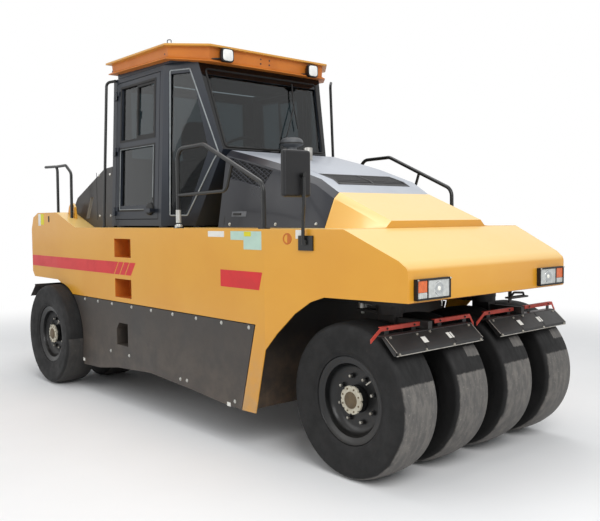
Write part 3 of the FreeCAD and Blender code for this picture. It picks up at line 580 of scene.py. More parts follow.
def wire_ends(slope, rise):
    """Where a slanted wire enters and leaves the mesh hole."""
    ends = []
    for (x0, z0), (x1, z1) in zip(MESH_HOLE, MESH_HOLE[1:] + MESH_HOLE[:1]):
        first, last = z0 - slope * x0 - rise, z1 - slope * x1 - rise
        if first * last < 0:
            share = first / (first - last)
            ends.append((x0 + (x1 - x0) * share, z0 + (z1 - z0) * share))
    return ends


TOP_GRILLE = (-0.862, -0.634)
TOP_HALF, BORDER = 0.408, 0.020
SLATS, SLAT_PITCH = 9, 0.021
SLAT_WIDE, FIRST_SLAT = 0.009, 0.024
WIRE_SLOPE, WIRE_PITCH, WIRE_R = 0.62, 0.036, 0.0042
grilles = Form()
hood_strip(grilles, (-1.126, TOP_GRILLE[0]), (-TOP_HALF, TOP_HALF), 2, -0.004, 0.0015)
hood_strip(grilles, TOP_GRILLE, (-TOP_HALF, TOP_HALF), 0, -0.034, -0.030)
for xs, ys in (((TOP_GRILLE[0], TOP_GRILLE[0] + BORDER), (-TOP_HALF, TOP_HALF)),
               ((TOP_GRILLE[1] - BORDER, TOP_GRILLE[1]), (-TOP_HALF, TOP_HALF)),
               (TOP_GRILLE, (-TOP_HALF, BORDER - TOP_HALF)), (TOP_GRILLE, (TOP_HALF - BORDER, TOP_HALF)),
               (TOP_GRILLE, (-BORDER / 2, BORDER / 2))):
    hood_strip(grilles, xs, ys, 0, -0.004, 0.0018)
for i in range(SLATS):
    x = TOP_GRILLE[0] + FIRST_SLAT + SLAT_PITCH * i
    hood_strip(grilles, (x, x + SLAT_WIDE), (-TOP_HALF + 0.01, TOP_HALF - 0.01), 0, -0.016, -0.001)
for side in (-1, 1):
    on_hood(grilles, MESH_HOLE, side, 0, -0.014, 0.018)
    grilles.rod(closed(hood_points(MESH_HOLE, side, 0.0005)), 0.005, 1, 8)
    for slope in (-WIRE_SLOPE, WIRE_SLOPE):
        rises = [z - slope * x for x, z in MESH_HOLE]
        for i in range(int((max(rises) - min(rises)) / WIRE_PITCH)):
            wire = wire_ends(slope, min(rises) + WIRE_PITCH * (i + 0.5))
            grilles.rod(hood_points(wire, side, -0.003), WIRE_R, 1, 6)
grilles.instead("hood_grilles", "hood", "grille_black", [grille_black, mesh_grey, hood_silver], 50.0)

trim = Form()
for side in (-1, 1):
    on_hood(trim, oblong((-1.679, -1.671), (1.665, 2.045)), side, 0, 0.0006)
    on_hood(trim, oblong((-1.585, -1.406), (1.735, 1.777)), side, 1, 0.004)
    on_hood(trim, oblong((-1.560, -1.470), (1.748, 1.764)), side, 0, 0.011)
    for x in (-0.62, -1.05, -1.60):
        at = hood_side(x, 1.672)
        trim.bolt((at.x, side * -at.y, at.z), (0.0, side, 0.15), 0.009, 2)
latch_grey = painted("latch_plate", (96, 98, 102), (78, 80, 84), 0.4, metal=0.4)
trim.shown("hood_trim", "hood", [rubber_black, latch_grey, zinc])

# Air pre-cleaner and exhaust tip: a moulded grey mushroom with a black band round its rim, and
# a short bare steel pipe.
PLASTIC_PEEL = (400.0, 0.12)
plastic = painted("black_plastic", (20, 20, 22), (30, 30, 32), 0.45, peel=PLASTIC_PEEL, gloss=0.4)
cleaner_grey = painted("bowl_plastic", (84, 86, 88), (66, 68, 70), 0.5, peel=PLASTIC_PEEL, cloud=9.0)
steel = painted("bare_steel", (196, 194, 188), (150, 146, 140), 0.35, metal=0.8, cloud=9.0)
cleaner_low, cleaner_high = span("air_precleaner")
cleaner_at = ((cleaner_low.x + cleaner_high.x) / 2, 0.0, 0.0)
CLEANER_R = (cleaner_high.x - cleaner_low.x) / 2
top = cleaner_high.z
cleaner = Form()
cleaner.turned([(cleaner_low.z + 0.004, CLEANER_R * 0.43), (top - 0.090, CLEANER_R * 0.43),
                (top - 0.086, CLEANER_R * 0.62), (top - 0.066, CLEANER_R * 0.99), (top - 0.060, CLEANER_R)]
               + [(top - 0.048 + 0.048 * math.sin(a), CLEANER_R * math.cos(a) ** 0.6)
                  for a in (0.0, 0.25, 0.5, 0.75, 1.0, 1.2, 1.35)], cleaner_at, (0, 0, 1), 0, 48)
cleaner.turned([(top - drop, CLEANER_R * 1.012) for drop in (0.062, 0.050)], cleaner_at, (0, 0, 1), 1, 48)
cleaner.shown("precleaner_finished", "hood", [cleaner_grey, rubber_black],
              ("air_precleaner",), 40.0)
dressed("exhaust_tip", "hood", [steel], 0.001)

# Cab: welded tube frame in dark grey enamel, black where it lies behind the windscreen's edge.
# The roof is a moulded cap: a thin yellow brim over a darker fascia with a turned-out lip.
cab_grey = painted("cab_enamel", (26, 31, 40), (34, 40, 50), 0.36, coat=0.1, gloss=0.4)
frit = painted("printed_glass_edge", (10, 11, 12), (15, 16, 18), 0.06, cloud=5.0, peel=(260.0, 0.0))
dressed("cab_frame", "chassis", [cab_grey, frit], 0.004,
        pick=lambda face: 1 if face.normal.x > 0.7 and face.calc_center_median().z > 2.3 else 0)
# The roof's upward faces blend paler: a painted highlight.
roof_paint = painted("roof_enamel", (216, 158, 66), (206, 146, 58), 0.4, coat=0.2, cloud=1.2,
                     top_highlight=linear(228, 186, 112))
fascia_paint = painted("fascia_enamel", (206, 122, 40), (186, 104, 34), 0.45, cloud=2.5)
ROOF_SIDE = 0.950
ROOF_RUN = [   # x, half width, fascia's low edge, brim's top edge
    (-3.325, ROOF_SIDE, 3.128, 3.240), (-2.230, ROOF_SIDE, 3.108, 3.236), (-1.920, 0.680, 3.072, 3.216)]


def roof_rim(inset, level):
    """One outline of the roof: level 0 is the fascia's low edge, 1 the brim's top, in metres past it."""
    near = []
    for number, (x, half, low, high) in enumerate(ROOF_RUN):
        along = inset * (-1 if number == 2 else 1 if number == 0 else -0.4)
        z = low if level == 0 else high + level - 1
        near.append(Vector((x + along, half - inset * (0.4 if number == 2 else 1), z)))
    return [Vector((p.x, -p.y, p.z)) for p in near] + near[::-1]


roof = Form()
roof.skin([roof_rim(0.050, 0), roof_rim(0.044, 0.985)], 1)
roof.skin([roof_rim(0.0, 0.982), roof_rim(0.0, 0.998), roof_rim(0.012, 1.002), roof_rim(0.070, 1.012),
           roof_rim(0.300, 1.028), roof_rim(0.420, 1.030)], 0)
inner, outer = roof_rim(0.060, 0), roof_rim(0.018, 0)
for i in range(len(inner)):
    j = (i + 1) % len(inner)
    lift = Vector((0.0, 0.0, 0.016))
    roof.skin([[outer[i], outer[j], inner[j], inner[i]],
               [outer[i] + lift * 0.4, outer[j] + lift * 0.4, inner[j] + lift * 2, inner[i] + lift * 2]], 1)
roof.skin([[Vector((p.x, p.y, 3.0855)) for p in roof_rim(0.085, 0)], roof_rim(0.085, 0.98)], 2)
for y, z in ((-0.10, 3.165), (0.0, 3.165), (-0.10, 3.125), (0.0, 3.125)):
    roof.turned([(-0.004, 0.008), (0.001, 0.008)], (-1.966, y, z), (1, 0, 0), 2, 12)
for x in (-3.28, -2.30):
    roof.turned([(-0.004, 0.009), (0.001, 0.009)], (x, -ROOF_SIDE + 0.048, 3.160), (0, -1, 0), 2, 12)
HOOK = [(-2.215, -0.925, 3.236), (-2.215, -0.925, 3.262), (-2.185, -0.905, 3.262), (-2.185, -0.905, 3.236)]
roof.rod(bent(HOOK, 0.010, 4), 0.004, 2, 8)
roof.instead("cab_roof", "chassis", "yellow_paint", [roof_paint, fascia_paint, cab_grey], 34.0)
floor_rubber = painted("floor_rubber", (30, 30, 30), (40, 40, 40), 0.8, peel=(300.0, 0.3))
dressed("cab_floor", "chassis", [floor_rubber], 0.0)
for side in ("right", "left"):
    dressed("door_" + side, side + "_door", [cab_grey], 0.003)
CAB_RINGS = [   # height, half width of the sides, x and half width at the front corners
    (1.660, 0.920, -2.170, 0.700), (2.320, 0.892, -1.862, 0.605), (3.085, 0.860, -2.070, 0.710)]
CAB_POST = -2.390


def cab_ring(z):
    """The cab's side half width, front corner x and front half width at a height."""
    low, high = (CAB_RINGS[0], CAB_RINGS[1]) if z < CAB_RINGS[1][0] else (CAB_RINGS[1], CAB_RINGS[2])
    share = (z - low[0]) / (high[0] - low[0])
    return [a + (b - a) * share for a, b in zip(low[1:], high[1:])]


def on_cab(x, z, side, out=0.0):
    """A point on the cab's outer skin, on its straight side or its slanted quarter."""
    half, front_x, front_half = cab_ring(z)
    if x <= CAB_POST:
        return Vector((x, side * (half + out), z))
    share = (x - CAB_POST) / (front_x - CAB_POST)
    return Vector((x + 0.6 * out, side * (half + (front_half - half) * share + 0.8 * out), z))


def cab_strip(form, x, z, side, width, finish=0, lift=0.003):
    """A flat rubber frame of this width round an opening (x low, x high), (z low, z high)."""
    runs = [((x[0], x[1]), (z[0], z[0] + width)), ((x[0], x[1]), (z[1] - width, z[1])),
            ((x[0], x[0] + width), (z[0] + width, z[1] - width)),
            ((x[1] - width, x[1]), (z[0] + width, z[1] - width))]
    for xs, zs in runs:
        form.skin([[on_cab(a, b, side, out) for a, b in oblong(xs, zs)] for out in (-0.020, lift)], finish)


# Door fittings: rubber round each pane with a pale grey bead on the lower one as painted
# highlight, the upper window's sliding frame with its catch, and a round lock cover behind the handle.
# Pale grey rubber that stands for the highlights on the seals: a painted highlight.
seal_highlight = painted("seal_painted_highlight", (150, 156, 158), (128, 134, 136), 0.5, cloud=20.0)
PANE_X, LOW_PANE_Z, TOP_PANE_Z = (-3.180, -2.525), (1.800, 2.405), (2.465, 2.990)
RIM_OUT = 0.006
LOCK_AT, LOCK_COVER = (-2.585, 1.815), [(-0.006, 0.058), (0.010, 0.058), (0.016, 0.050), (0.017, 0.010)]
for side, word in ((-1, "right"), (1, "left")):
    seals = Form()
    for pane in (LOW_PANE_Z, TOP_PANE_Z):
        cab_strip(seals, (PANE_X[0] - RIM_OUT, PANE_X[1] + RIM_OUT), (pane[0] - RIM_OUT, pane[1] + RIM_OUT),
                  side, 0.020)
    middle = (PANE_X[0] + PANE_X[1]) / 2
    cab_strip(seals, (middle - 0.020, PANE_X[1] - 0.016), (TOP_PANE_Z[0] + 0.016, TOP_PANE_Z[1] - 0.016),
              side, 0.022, 0, -0.004)
    catch = on_cab(middle, 2.700, side, 0.004)
    seals.block((catch.x - 0.012, catch.x + 0.012), sorted((catch.y, catch.y - side * 0.02)),
                (catch.z - 0.035, catch.z + 0.035), 0)
    bead = [(PANE_X[0] + 0.014, LOW_PANE_Z[0] + 0.014), (PANE_X[0] + 0.014, LOW_PANE_Z[1] - 0.014),
            (PANE_X[1] - 0.014, LOW_PANE_Z[1] - 0.014), (PANE_X[1] - 0.014, LOW_PANE_Z[0] + 0.120)]
    # The pale line round the lower pane is a painted highlight.
    seals.rod([on_cab(x, z, side, 0.004) for x, z in bead], 0.0035, 1, 8)
    seals.rod([on_cab(x, z, side, 0.004) for x, z in ((bead[0][0], bead[0][1]), (-2.660, bead[0][1]))],
              0.0035, 1, 8)
    seals.turned(LOCK_COVER, on_cab(*LOCK_AT, side, 0.002), (0.0, side, 0.1), 0, 32)
    seals.shown(f"door_{word}_seals", word + "_door", [rubber_black, seal_highlight])

# Window rubber and wiper on the fixed panes: round beads that follow each pane's outline, pale
# grey on the quarter panes as painted highlight, and a single wiper on the windscreen.
QUARTER = [(-2.328, 1.752), (-2.208, 1.752), (-1.950, 2.230), (-1.902, 2.298), (-2.145, 3.030),
           (-2.328, 3.030)]
panes = Form()
for side in (-1, 1):
    corners = [on_cab(x, z, side, 0.001) for x, z in QUARTER]
    # The quarter panes' beads are pale grey: painted highlight.
    panes.rod(bent(closed(corners), 0.012, 3), 0.0065, 1, 8)


def on_screen(y, z, out=0.0):
    """A point on the windscreen's outer face."""
    return Vector((cab_ring(z)[1] + out, y, z))


SCREEN = [(-0.572, 2.342), (0.572, 2.342), (0.648, 3.030), (-0.648, 3.030)]
corners = [on_screen(y, z, 0.001) for y, z in SCREEN]
panes.rod(bent(closed(corners), 0.03, 4), 0.009, 0, 8)
WIPER_FOOT, WIPER_HEAD = (0.05, 2.330), (0.300, 2.800)
foot, head = on_screen(*WIPER_FOOT, 0.014), on_screen(*WIPER_HEAD, 0.022)
panes.rod([foot, foot.lerp(head, 0.5) + Vector((0.014, 0.0, 0.0)), head], 0.006, 0, 8)
panes.turned([(-0.02, 0.016), (0.012, 0.016), (0.016, 0.010)], foot, (1, 0, 0), 0, 20)
blade_low, blade_high = on_screen(0.300, 2.560, 0.010), on_screen(0.330, 3.000, 0.010)
panes.rod([blade_low, head + Vector((-0.010, 0.0, 0.0)), blade_high], 0.007, 0, 8)
panes.shown("window_rubber", "chassis", [rubber_black, seal_highlight], crease=50.0)


def tinted_glass(name, tint, dusty):
    """Flat safety glass, tinted through, a little dustier in clouds."""
    mix = Recipe(name)
    haze = mix.blend(mix.spread(mix.noise(3.0, 6.0, 0.7), 0.35, 0.8), tint, dusty)
    return mix.set(Base_Color=haze, Roughness=0.0, Transmission_Weight=1.0, IOR=1.45,
                   Specular_IOR_Level=0.4)


cab_glass = tinted_glass("cab_glass", linear(96, 108, 112), linear(88, 98, 102))
for node in ("cab_windows", "door_right_glass", "door_left_glass"):
    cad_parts[node].data.materials.clear()
    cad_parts[node].data.materials.append(cab_glass)

# Operator's place: a sprung seat with a woven cover on two foam pads, a moulded console with a
# hooded display, and a steering wheel on its column.


def pillow(form, at, half, lean=0.0, finish=0, rounds=14, points=40):
    """A foam pad of these half sizes, leant back about Y, full in the middle."""
    turn = Matrix.Rotation(lean, 3, "Y")
    rings = []
    for i in range(rounds + 1):
        rise = -math.pi / 2 * 0.98 + math.pi * 0.98 * i / rounds
        width = math.cos(rise) ** 0.35
        ring = []
        for j in range(points):
            a = 2 * math.pi * j / points
            x, y = math.cos(a), math.sin(a)
            square = (x ** 4 + y ** 4) ** -0.25
            reach = Vector((half[0] * width * x * square, half[1] * width * y * square,
                            half[2] * math.sin(rise)))
            ring.append(Vector(at) + turn @ reach)
        rings.append(ring)
    form.skin(rings, finish)


seat_low = span("operator_seat")[0]
fabric = painted("seat_cloth", (38, 39, 42), (48, 49, 52), 0.9, peel=(700.0, 0.5), cloud=7.0)
stand = Form()
stand.block((seat_low.x + 0.10, seat_low.x + 0.42), (-0.17, 0.17), (seat_low.z, seat_low.z + 0.10))
for i in range(6):
    fold = seat_low.z + 0.10 + 0.035 * i
    inset = 0.02 if i % 2 else 0.0
    stand.block((seat_low.x + 0.12 + inset, seat_low.x + 0.40 - inset), (-0.15 + inset, 0.15 - inset),
                (fold, fold + 0.035))
stand.block((seat_low.x + 0.06, seat_low.x + 0.48), (-0.21, 0.21), (seat_low.z + 0.31, seat_low.z + 0.345))
for side in (-1, 1):
    arm = [(0.07, seat_low.z + 0.34), (0.05, 2.30), (0.36, 2.32)]
    stand.rod(bent([(seat_low.x + x, side * 0.235, z) for x, z in arm], 0.04), 0.017)
stand.shown("seat_stand", "chassis", [plastic], ("operator_seat",))
for name, at, half, lean in (
        ("seat_cushion", (seat_low.x + 0.30, 0.0, seat_low.z + 0.405), (0.235, 0.235, 0.065), 0.0),
        ("seat_backrest", (seat_low.x + 0.075, 0.0, seat_low.z + 0.745), (0.062, 0.225, 0.285), -0.14)):
    pad = Form()
    pillow(pad, at, half, lean)
    pad.shown(name, "chassis", [fabric], crease=80.0)
dressed("steering_console", "chassis", [plastic], 0.012)
screen_dark = painted("display", (14, 20, 26), (18, 26, 32), 0.1, coat=0.6)
console_low, console_high = span("steering_console")
panel = Form()
panel.block((console_low.x + 0.030, console_low.x + 0.110), (-0.125, 0.125),
            (console_high.z - 0.012, console_high.z + 0.004), 0)
panel.block((console_low.x + 0.036, console_low.x + 0.104), (-0.115, 0.020),
            (console_high.z + 0.003, console_high.z + 0.007), 1)
for i in range(4):
    panel.turned([(0.0, 0.009), (0.012, 0.008)], (console_low.x + 0.05 + 0.018 * (i % 2), 0.045 + 0.018 * i,
                                                 console_high.z + 0.003), (0, 0, 1), 0, 14)
panel.shown("console_panel", "chassis", [plastic, screen_dark])
dressed("steering_wheel", "chassis", [plastic], 0.0, crease=50.0)

# Rear cover: folded black sheet over the ballast tank's filler, a vent slot in each side lined pale
# grey as painted light seen through it, seams and quarter-turn fasteners.
cover_black = painted("cover_enamel", (34, 31, 30), (46, 42, 40), 0.42, coat=0.15, wave=0.03)
# Pale grey inside the vent slots: painted light showing through them.
slot_light = painted("slot_painted_light", (150, 146, 138), (126, 122, 116), 0.5)
cover_high = span("rear_cover")[1]
# The slot's inner faces take the pale grey: painted light.
dressed("rear_cover", "chassis", [cover_black, slot_light], 0.005,
        pick=lambda face: 1 if cover_high.y - 0.05 < abs(face.calc_center_median().y)
        < cover_high.y - 0.005 else 0)
cover = Form()
for side in (-1, 1):
    y = side * cover_high.y
    cover.block((-3.700, -3.694), sorted((y - side * 0.002, y + side * 0.0012)), (1.720, 2.200), 1)
    for x, z in ((-3.640, 1.760), (-3.640, 2.170), (-3.400, 1.760), (-3.400, 2.170)):
        cover.turned([(-0.002, 0.014), (0.004, 0.012), (0.005, 0.006)], (x, y, z), (0, side, 0), 0, 20)
cover.shown("cover_fasteners", "chassis", [zinc, rubber_black])

# Rails: bent steel tube in black, welded to feet that bolt to the deck. A bright sleeve and foot
# hold each guard rail's rear post.
rail_black = painted("rail_enamel", (20, 21, 21), (30, 31, 30), 0.35, coat=0.2, gloss=0.4)
GUARD_R, RAIL_Y = 0.017, 1.074
GUARD_BACK, GUARD_FRONT = -1.844, -0.711
SLEEVE, SLEEVE_FOOT = [(0.045, 0.022), (0.150, 0.022)], [(0.0, 0.032), (0.020, 0.032), (0.030, 0.021)]
guards = Form()
for side in (-1, 1):
    y = side * RAIL_Y
    guards.rod(bent([(GUARD_BACK, y, deck_z), (GUARD_BACK, y, 2.292), (-1.459, y, 2.299),
                     (-0.715, y, 1.965), (GUARD_FRONT, y, deck_z)], 0.095, 8), GUARD_R, 0, 16)
    guards.rod(bent([(GUARD_BACK, y, 1.914), (-1.164, y, 1.928), (-1.089, y, 2.133)], 0.070, 8),
               0.013, 0, 16)
    for x in (GUARD_BACK, GUARD_FRONT):
        guards.block((x - 0.035, x + 0.035), (y - 0.028, y + 0.028), (deck_z, deck_z + 0.008))
        for step in (-1, 1):
            guards.bolt((x + step * 0.025, y, deck_z + 0.008), (0, 0, 1), 0.006)
    guards.turned(SLEEVE, (GUARD_BACK, y, deck_z), (0, 0, 1), 1, 20)
    guards.turned(SLEEVE_FOOT, (GUARD_BACK, y, deck_z + 0.004), (0, 0, 1), 1, 20)
guards.instead("guard_rails", "chassis", "rail_black", [rail_black, zinc], 40.0)
GRAB_R, CANE_R = 0.014, 0.015
hands = Form()
for x, side in ((-3.356, -1), (-2.134, 1)):
    hands.rod(bent([(x, side * 0.990, deck_z), (x, side * 0.988, 1.760), (x, side * 0.930, 3.060),
                    (x + 0.075, side * 0.868, 3.072)], 0.045, 6), GRAB_R, 0, 14)
    hands.block((x - 0.030, x + 0.030), sorted((side * 0.965, side * 1.015)), (deck_z, deck_z + 0.007))
REAR_DECK_Z = span("rear_panel")[1].z
CANE_Y, CANE_BEND = 1.005, 0.060
CANES = [   # (x, z) along the rear cane and along the forward one
    [(-4.415, REAR_DECK_Z - 0.004), (-4.408, 2.302), (-4.725, 2.312)],
    [(-4.072, 1.735), (-4.060, 2.215), (-4.190, 2.302), (-4.425, 2.302)]]
for side in (-1, 1):
    for cane in CANES:
        hands.rod(bent([(x, side * CANE_Y, z) for x, z in cane], CANE_BEND, 6), CANE_R, 0, 14)
hands.instead("hand_rails", "chassis", "rail_black", [rail_black], 40.0)
dressed("lifting_lugs", "chassis", [yellow], 0.002)

# Mirror: a moulded housing on a bent arm with a bright knob at its top. Its glass faces the
# cab.
mirror_low, mirror_high = span("mirror_housing")
dressed("mirror_housing", "chassis", [plastic], 0.020, crease=40.0)
dressed("mirror_arm", "chassis", [rail_black], 0.001, crease=50.0)
silver = painted("mirror_silver", (228, 232, 234), (222, 226, 228), 0.03, metal=1.0, peel=(20.0, 0.0))
KNOB, KNOB_AT = [(-0.020, 0.012), (0.0, 0.020), (0.030, 0.022), (0.046, 0.012)], (-0.300, -1.062, 2.000)
glass = Form()
glass.block((mirror_low.x + 0.002, mirror_low.x + 0.0048), (mirror_low.y + 0.035, mirror_high.y - 0.035),
            (mirror_low.z + 0.035, mirror_high.z - 0.035))
glass.turned(KNOB, KNOB_AT, (0, 0, 1), 1, 20)
glass.shown("mirror_glass", "chassis", [silver, zinc])

# Headlamps: a black moulded bezel on each side of the nose with a fluted reflector, a bulb, an
# orange turn lens and a small clear position lens under it.
reflector = painted("reflector", (226, 228, 226), (200, 204, 204), 0.16, metal=0.8, cloud=30.0)
bulb = painted("bulb_glass", (250, 248, 236), (240, 236, 220), 0.1, coat=0.8)


def fluted(name, tint, rough=0.12, pitch=330.0):
    """Clear or coloured lamp plastic with fine upright flutes."""
    mix = Recipe(name)
    wave = mix.sum("SINE", mix.sum("MULTIPLY", mix.axes()["Y"], pitch))
    mix.bumped((wave, 0.35, 0.002))
    darker = tuple(c * 0.8 for c in tint[:3]) + (1.0,)
    depth = mix.blend(mix.spread(mix.noise(30.0), 0.3, 0.7), tint, darker)
    return mix.set(Base_Color=depth, Roughness=rough, Coat_Weight=0.6)


lens_clear = fluted("lamp_lens", linear(206, 208, 204))
lens_orange = fluted("turn_lens", linear(232, 112, 54))
lens_red = fluted("tail_lens", linear(176, 26, 28))
LAMP_Y, LAMP_Z, LAMP_HALF, LAMP_TALL = 0.690, 1.272, 0.165, 0.066
LAMP_RIM, LAMP_BACK, LAMP_FACE = 0.010, 0.4735, 0.492
LENS_SPLIT, TURN_LOW = 0.055, -0.018


def lamp_block(form, side, x, across, height, finish=0):
    """A block on one headlamp, placed outward and upward from the lamp's middle."""
    form.block(x, sorted(side * (LAMP_Y + a) for a in across), [LAMP_Z + h for h in height], finish)


bezels, clears, turns = Form(), Form(), Form()
RIM_FACE = LAMP_FACE + 0.012
for side in (-1, 1):
    wide, tall = (-LAMP_HALF, LAMP_HALF), (-LAMP_TALL, LAMP_TALL)
    lamp_block(bezels, side, (LAMP_BACK, LAMP_FACE), wide, tall)
    for edge in (-1, 1):
        upright = sorted((edge * LAMP_HALF, edge * (LAMP_HALF - LAMP_RIM)))
        flat = sorted((edge * LAMP_TALL, edge * (LAMP_TALL - LAMP_RIM)))
        lamp_block(bezels, side, (LAMP_FACE, RIM_FACE), upright, tall)
        lamp_block(bezels, side, (LAMP_FACE, RIM_FACE), wide, flat)
    lamp_block(bezels, side, (LAMP_FACE, RIM_FACE - 0.002), (LENS_SPLIT, LENS_SPLIT + 0.008), tall)
    inside = (LAMP_RIM + 0.001 - LAMP_HALF, LAMP_HALF - LAMP_RIM - 0.001)
    high = LAMP_TALL - LAMP_RIM - 0.001
    face = (LAMP_FACE - 0.002, LAMP_FACE + 0.006)
    lamp_block(clears, side, face, (inside[0], LENS_SPLIT - 0.001), (-high, high))
    lamp_block(clears, side, face, (LENS_SPLIT + 0.009, inside[1]), (-high, TURN_LOW - 0.001))
    lamp_block(turns, side, face, (LENS_SPLIT + 0.009, inside[1]), (TURN_LOW, high))
rolled(bezels.instead("headlamp_frames", "chassis", "plastic_black", [plastic]), 0.002)
rolled(clears.instead("headlamp_lenses", "chassis", "lamp_clear", [lens_clear]), 0.002)
rolled(turns.instead("turn_lenses", "chassis", "lamp_orange", [lens_orange]), 0.002)
lamp_parts = Form()
for side in (-1, 1):
    at = (LAMP_FACE + 0.005, side * (LAMP_Y - 0.050), LAMP_Z)
    lamp_parts.turned([(0.0, 0.046), (0.004, 0.044), (0.005, 0.038), (0.003, 0.018)], at, (1, 0, 0), 0, 36)
    lamp_parts.turned([(0.0, 0.016), (0.006, 0.013), (0.008, 0.005)], at, (1, 0, 0), 1, 24)
    for y in (LAMP_Y - 0.158, LAMP_Y + 0.158):
        lamp_parts.bolt((RIM_FACE, side * y, LAMP_Z + LAMP_TALL - 0.006), (1, 0, 0), 0.004, 2)
lamp_parts.shown("headlamp_reflectors", "chassis", [reflector, bulb, zinc])

# Work lamps under the roof's brim: rounded black housings, each with a bright frosted glass
# in a rubber ring, on a short bracket from the fascia.
WORK_LAMPS = ((-0.508, 3.137), (0.488, 3.124))   # y, z
HOUSING = [   # x, half width, half height
    (-1.972, 0.040, 0.036), (-1.940, 0.062, 0.056), (-1.912, 0.066, 0.060), (-1.904, 0.063, 0.057)]
LAMP_GLASS = [(-1.910, 0.053, 0.049), (-1.901, 0.052, 0.048), (-1.897, 0.044, 0.040)]
frosted = painted("frosted_glass", (246, 246, 242), (228, 230, 228), 0.25, coat=0.5, cloud=30.0)


def rounded_square(x, y, z, half_y, half_z, points=32):
    """A ring of points round a square with round corners, facing forward."""
    ring = []
    for i in range(points):
        a = 2 * math.pi * i / points
        c, d = math.cos(a), math.sin(a)
        reach = (abs(c) ** 5 + abs(d) ** 5) ** -0.2
        ring.append(Vector((x, y + half_y * c * reach, z + half_z * d * reach)))
    return ring


work = Form()
for y, z in WORK_LAMPS:
    work.skin([rounded_square(x, y, z, wide, tall) for x, wide, tall in HOUSING], 0)
    work.skin([rounded_square(x, y, z, wide, tall) for x, wide, tall in LAMP_GLASS], 1)
    work.block((-1.985, -1.955), (y - 0.030, y + 0.030), (z - 0.012, z + 0.012), 0)
    work.rod([(-1.950, y - 0.055, z - 0.030), (-1.972, y - 0.130, z - 0.040)], 0.008, 0, 8)
work.instead("work_lamps", "chassis", "lamp_clear", [plastic, frosted], 40.0)

# Tail: red, clear and orange lenses side by side in each tail lamp, moulded in one and fixed to
# the rear sheet.
dressed("tail_lamps", "chassis", [lens_red, lens_orange, lens_clear], 0.003)
tail_low, tail_high = span("tail_lamps")
tail = Form()
for side in (-1, 1):
    for number, (inner, outer) in enumerate(((0.800, 0.846), (0.850, 0.908))):
        tail.block((tail_low.x - 0.002, tail_low.x + 0.006), sorted((side * inner, side * outer)),
                   (tail_low.z + 0.010, tail_high.z - 0.010), number)
tail.shown("tail_lenses", "chassis", [lens_clear, lens_orange])

# Tyres: smooth compactor tyres, black ribbed walls and a flat tread. The tread is grey with
# ground-in dust, and kept dark under the scraper as painted shade, but for one dusty patch below it.
TYRE_R = tyre_high.z / 2
TYRE_HALF = (tyre_high.y - tyre_low.y) / 2
BEAD_HALF, BEAD_R = 0.118, 0.294


def tyre_rubber(name, x, ahead_way, dusty, patch_from):
    """Rubber with a dusty tread about the axle at x, painted shade under the scraper on its ahead_way side.
    """
    mix = Recipe(name)
    seat = mix.add("VectorMath", {0: mix.place, 1: (x, 0.0, TYRE_R)}, operation="SUBTRACT")
    part = mix.add("SeparateXYZ", {0: seat.outputs["Vector"]}).outputs
    squares = [mix.sum("POWER", part[axis], 2.0) for axis in ("X", "Z")]
    radius = mix.sum("SQRT", mix.sum("ADD", *squares))
    angle = mix.sum("ARCTAN2", part["Z"], mix.sum("MULTIPLY", part["X"], ahead_way))
    smear = mix.noise(9.0, 6.0, 0.65, mix.stretched(1.0, 3.0, 1.0))
    grain = mix.noise(60.0, 6.0, 0.7)
    ragged = mix.sum("ADD", angle, mix.spread(grain, 0.3, 0.7, -0.008, 0.008))
    # Dust shows only below about 20 degrees and in one patch; above, under the scraper, the tread stays
    # dark as painted shade.
    below = mix.spread(ragged, math.radians(20.0), math.radians(18.6))
    patch = mix.sum("MULTIPLY", mix.spread(ragged, math.radians(30.0), math.radians(31.0)),
                    mix.spread(ragged, math.radians(39.5), math.radians(38.5)))
    across = mix.sum("WRAP", mix.sum("SUBTRACT", part["Y"], PITCH / 2), PITCH, 0.0)
    patch = mix.sum("MULTIPLY", patch, mix.spread(across, PITCH / 2 + 0.085, PITCH / 2 + 0.080))
    patch = mix.sum("MULTIPLY", patch, mix.spread(part["Y"], patch_from - 0.01, patch_from))
    tread = mix.spread(mix.sum("ADD", radius, mix.spread(smear, 0.3, 0.7, -0.003, 0.003)), 0.497, 0.507)
    dust = mix.blend(mix.spread(smear, 0.35, 0.7), linear(88, 86, 84), linear(118, 114, 109))
    dust = mix.blend(mix.spread(grain, 0.56, 0.72, 0.0, 0.5), dust, linear(164, 158, 150))
    wall = mix.blend(mix.spread(mix.noise(5.0, 5.0), 0.35, 0.7), linear(17, 17, 17), linear(26, 25, 25))
    wall = mix.blend(mix.spread(mix.noise(14.0, 8.0, 0.7), 0.62, 0.75, 0.0, 0.3), wall, linear(70, 66, 62))
    share = mix.sum("MULTIPLY", mix.sum("MULTIPLY", tread, dusty), mix.sum("MAXIMUM", below, patch))
    mix.bumped((mix.noise(420.0, 3.0), 0.12, 0.002), (mix.noise(24.0, 5.0, 0.7), 0.10, 0.004))
    return mix.set(Base_Color=mix.blend(share, wall, dust), Roughness=mix.spread(smear, 0.3, 0.7, 0.6, 0.8),
                   Specular_IOR_Level=0.35)


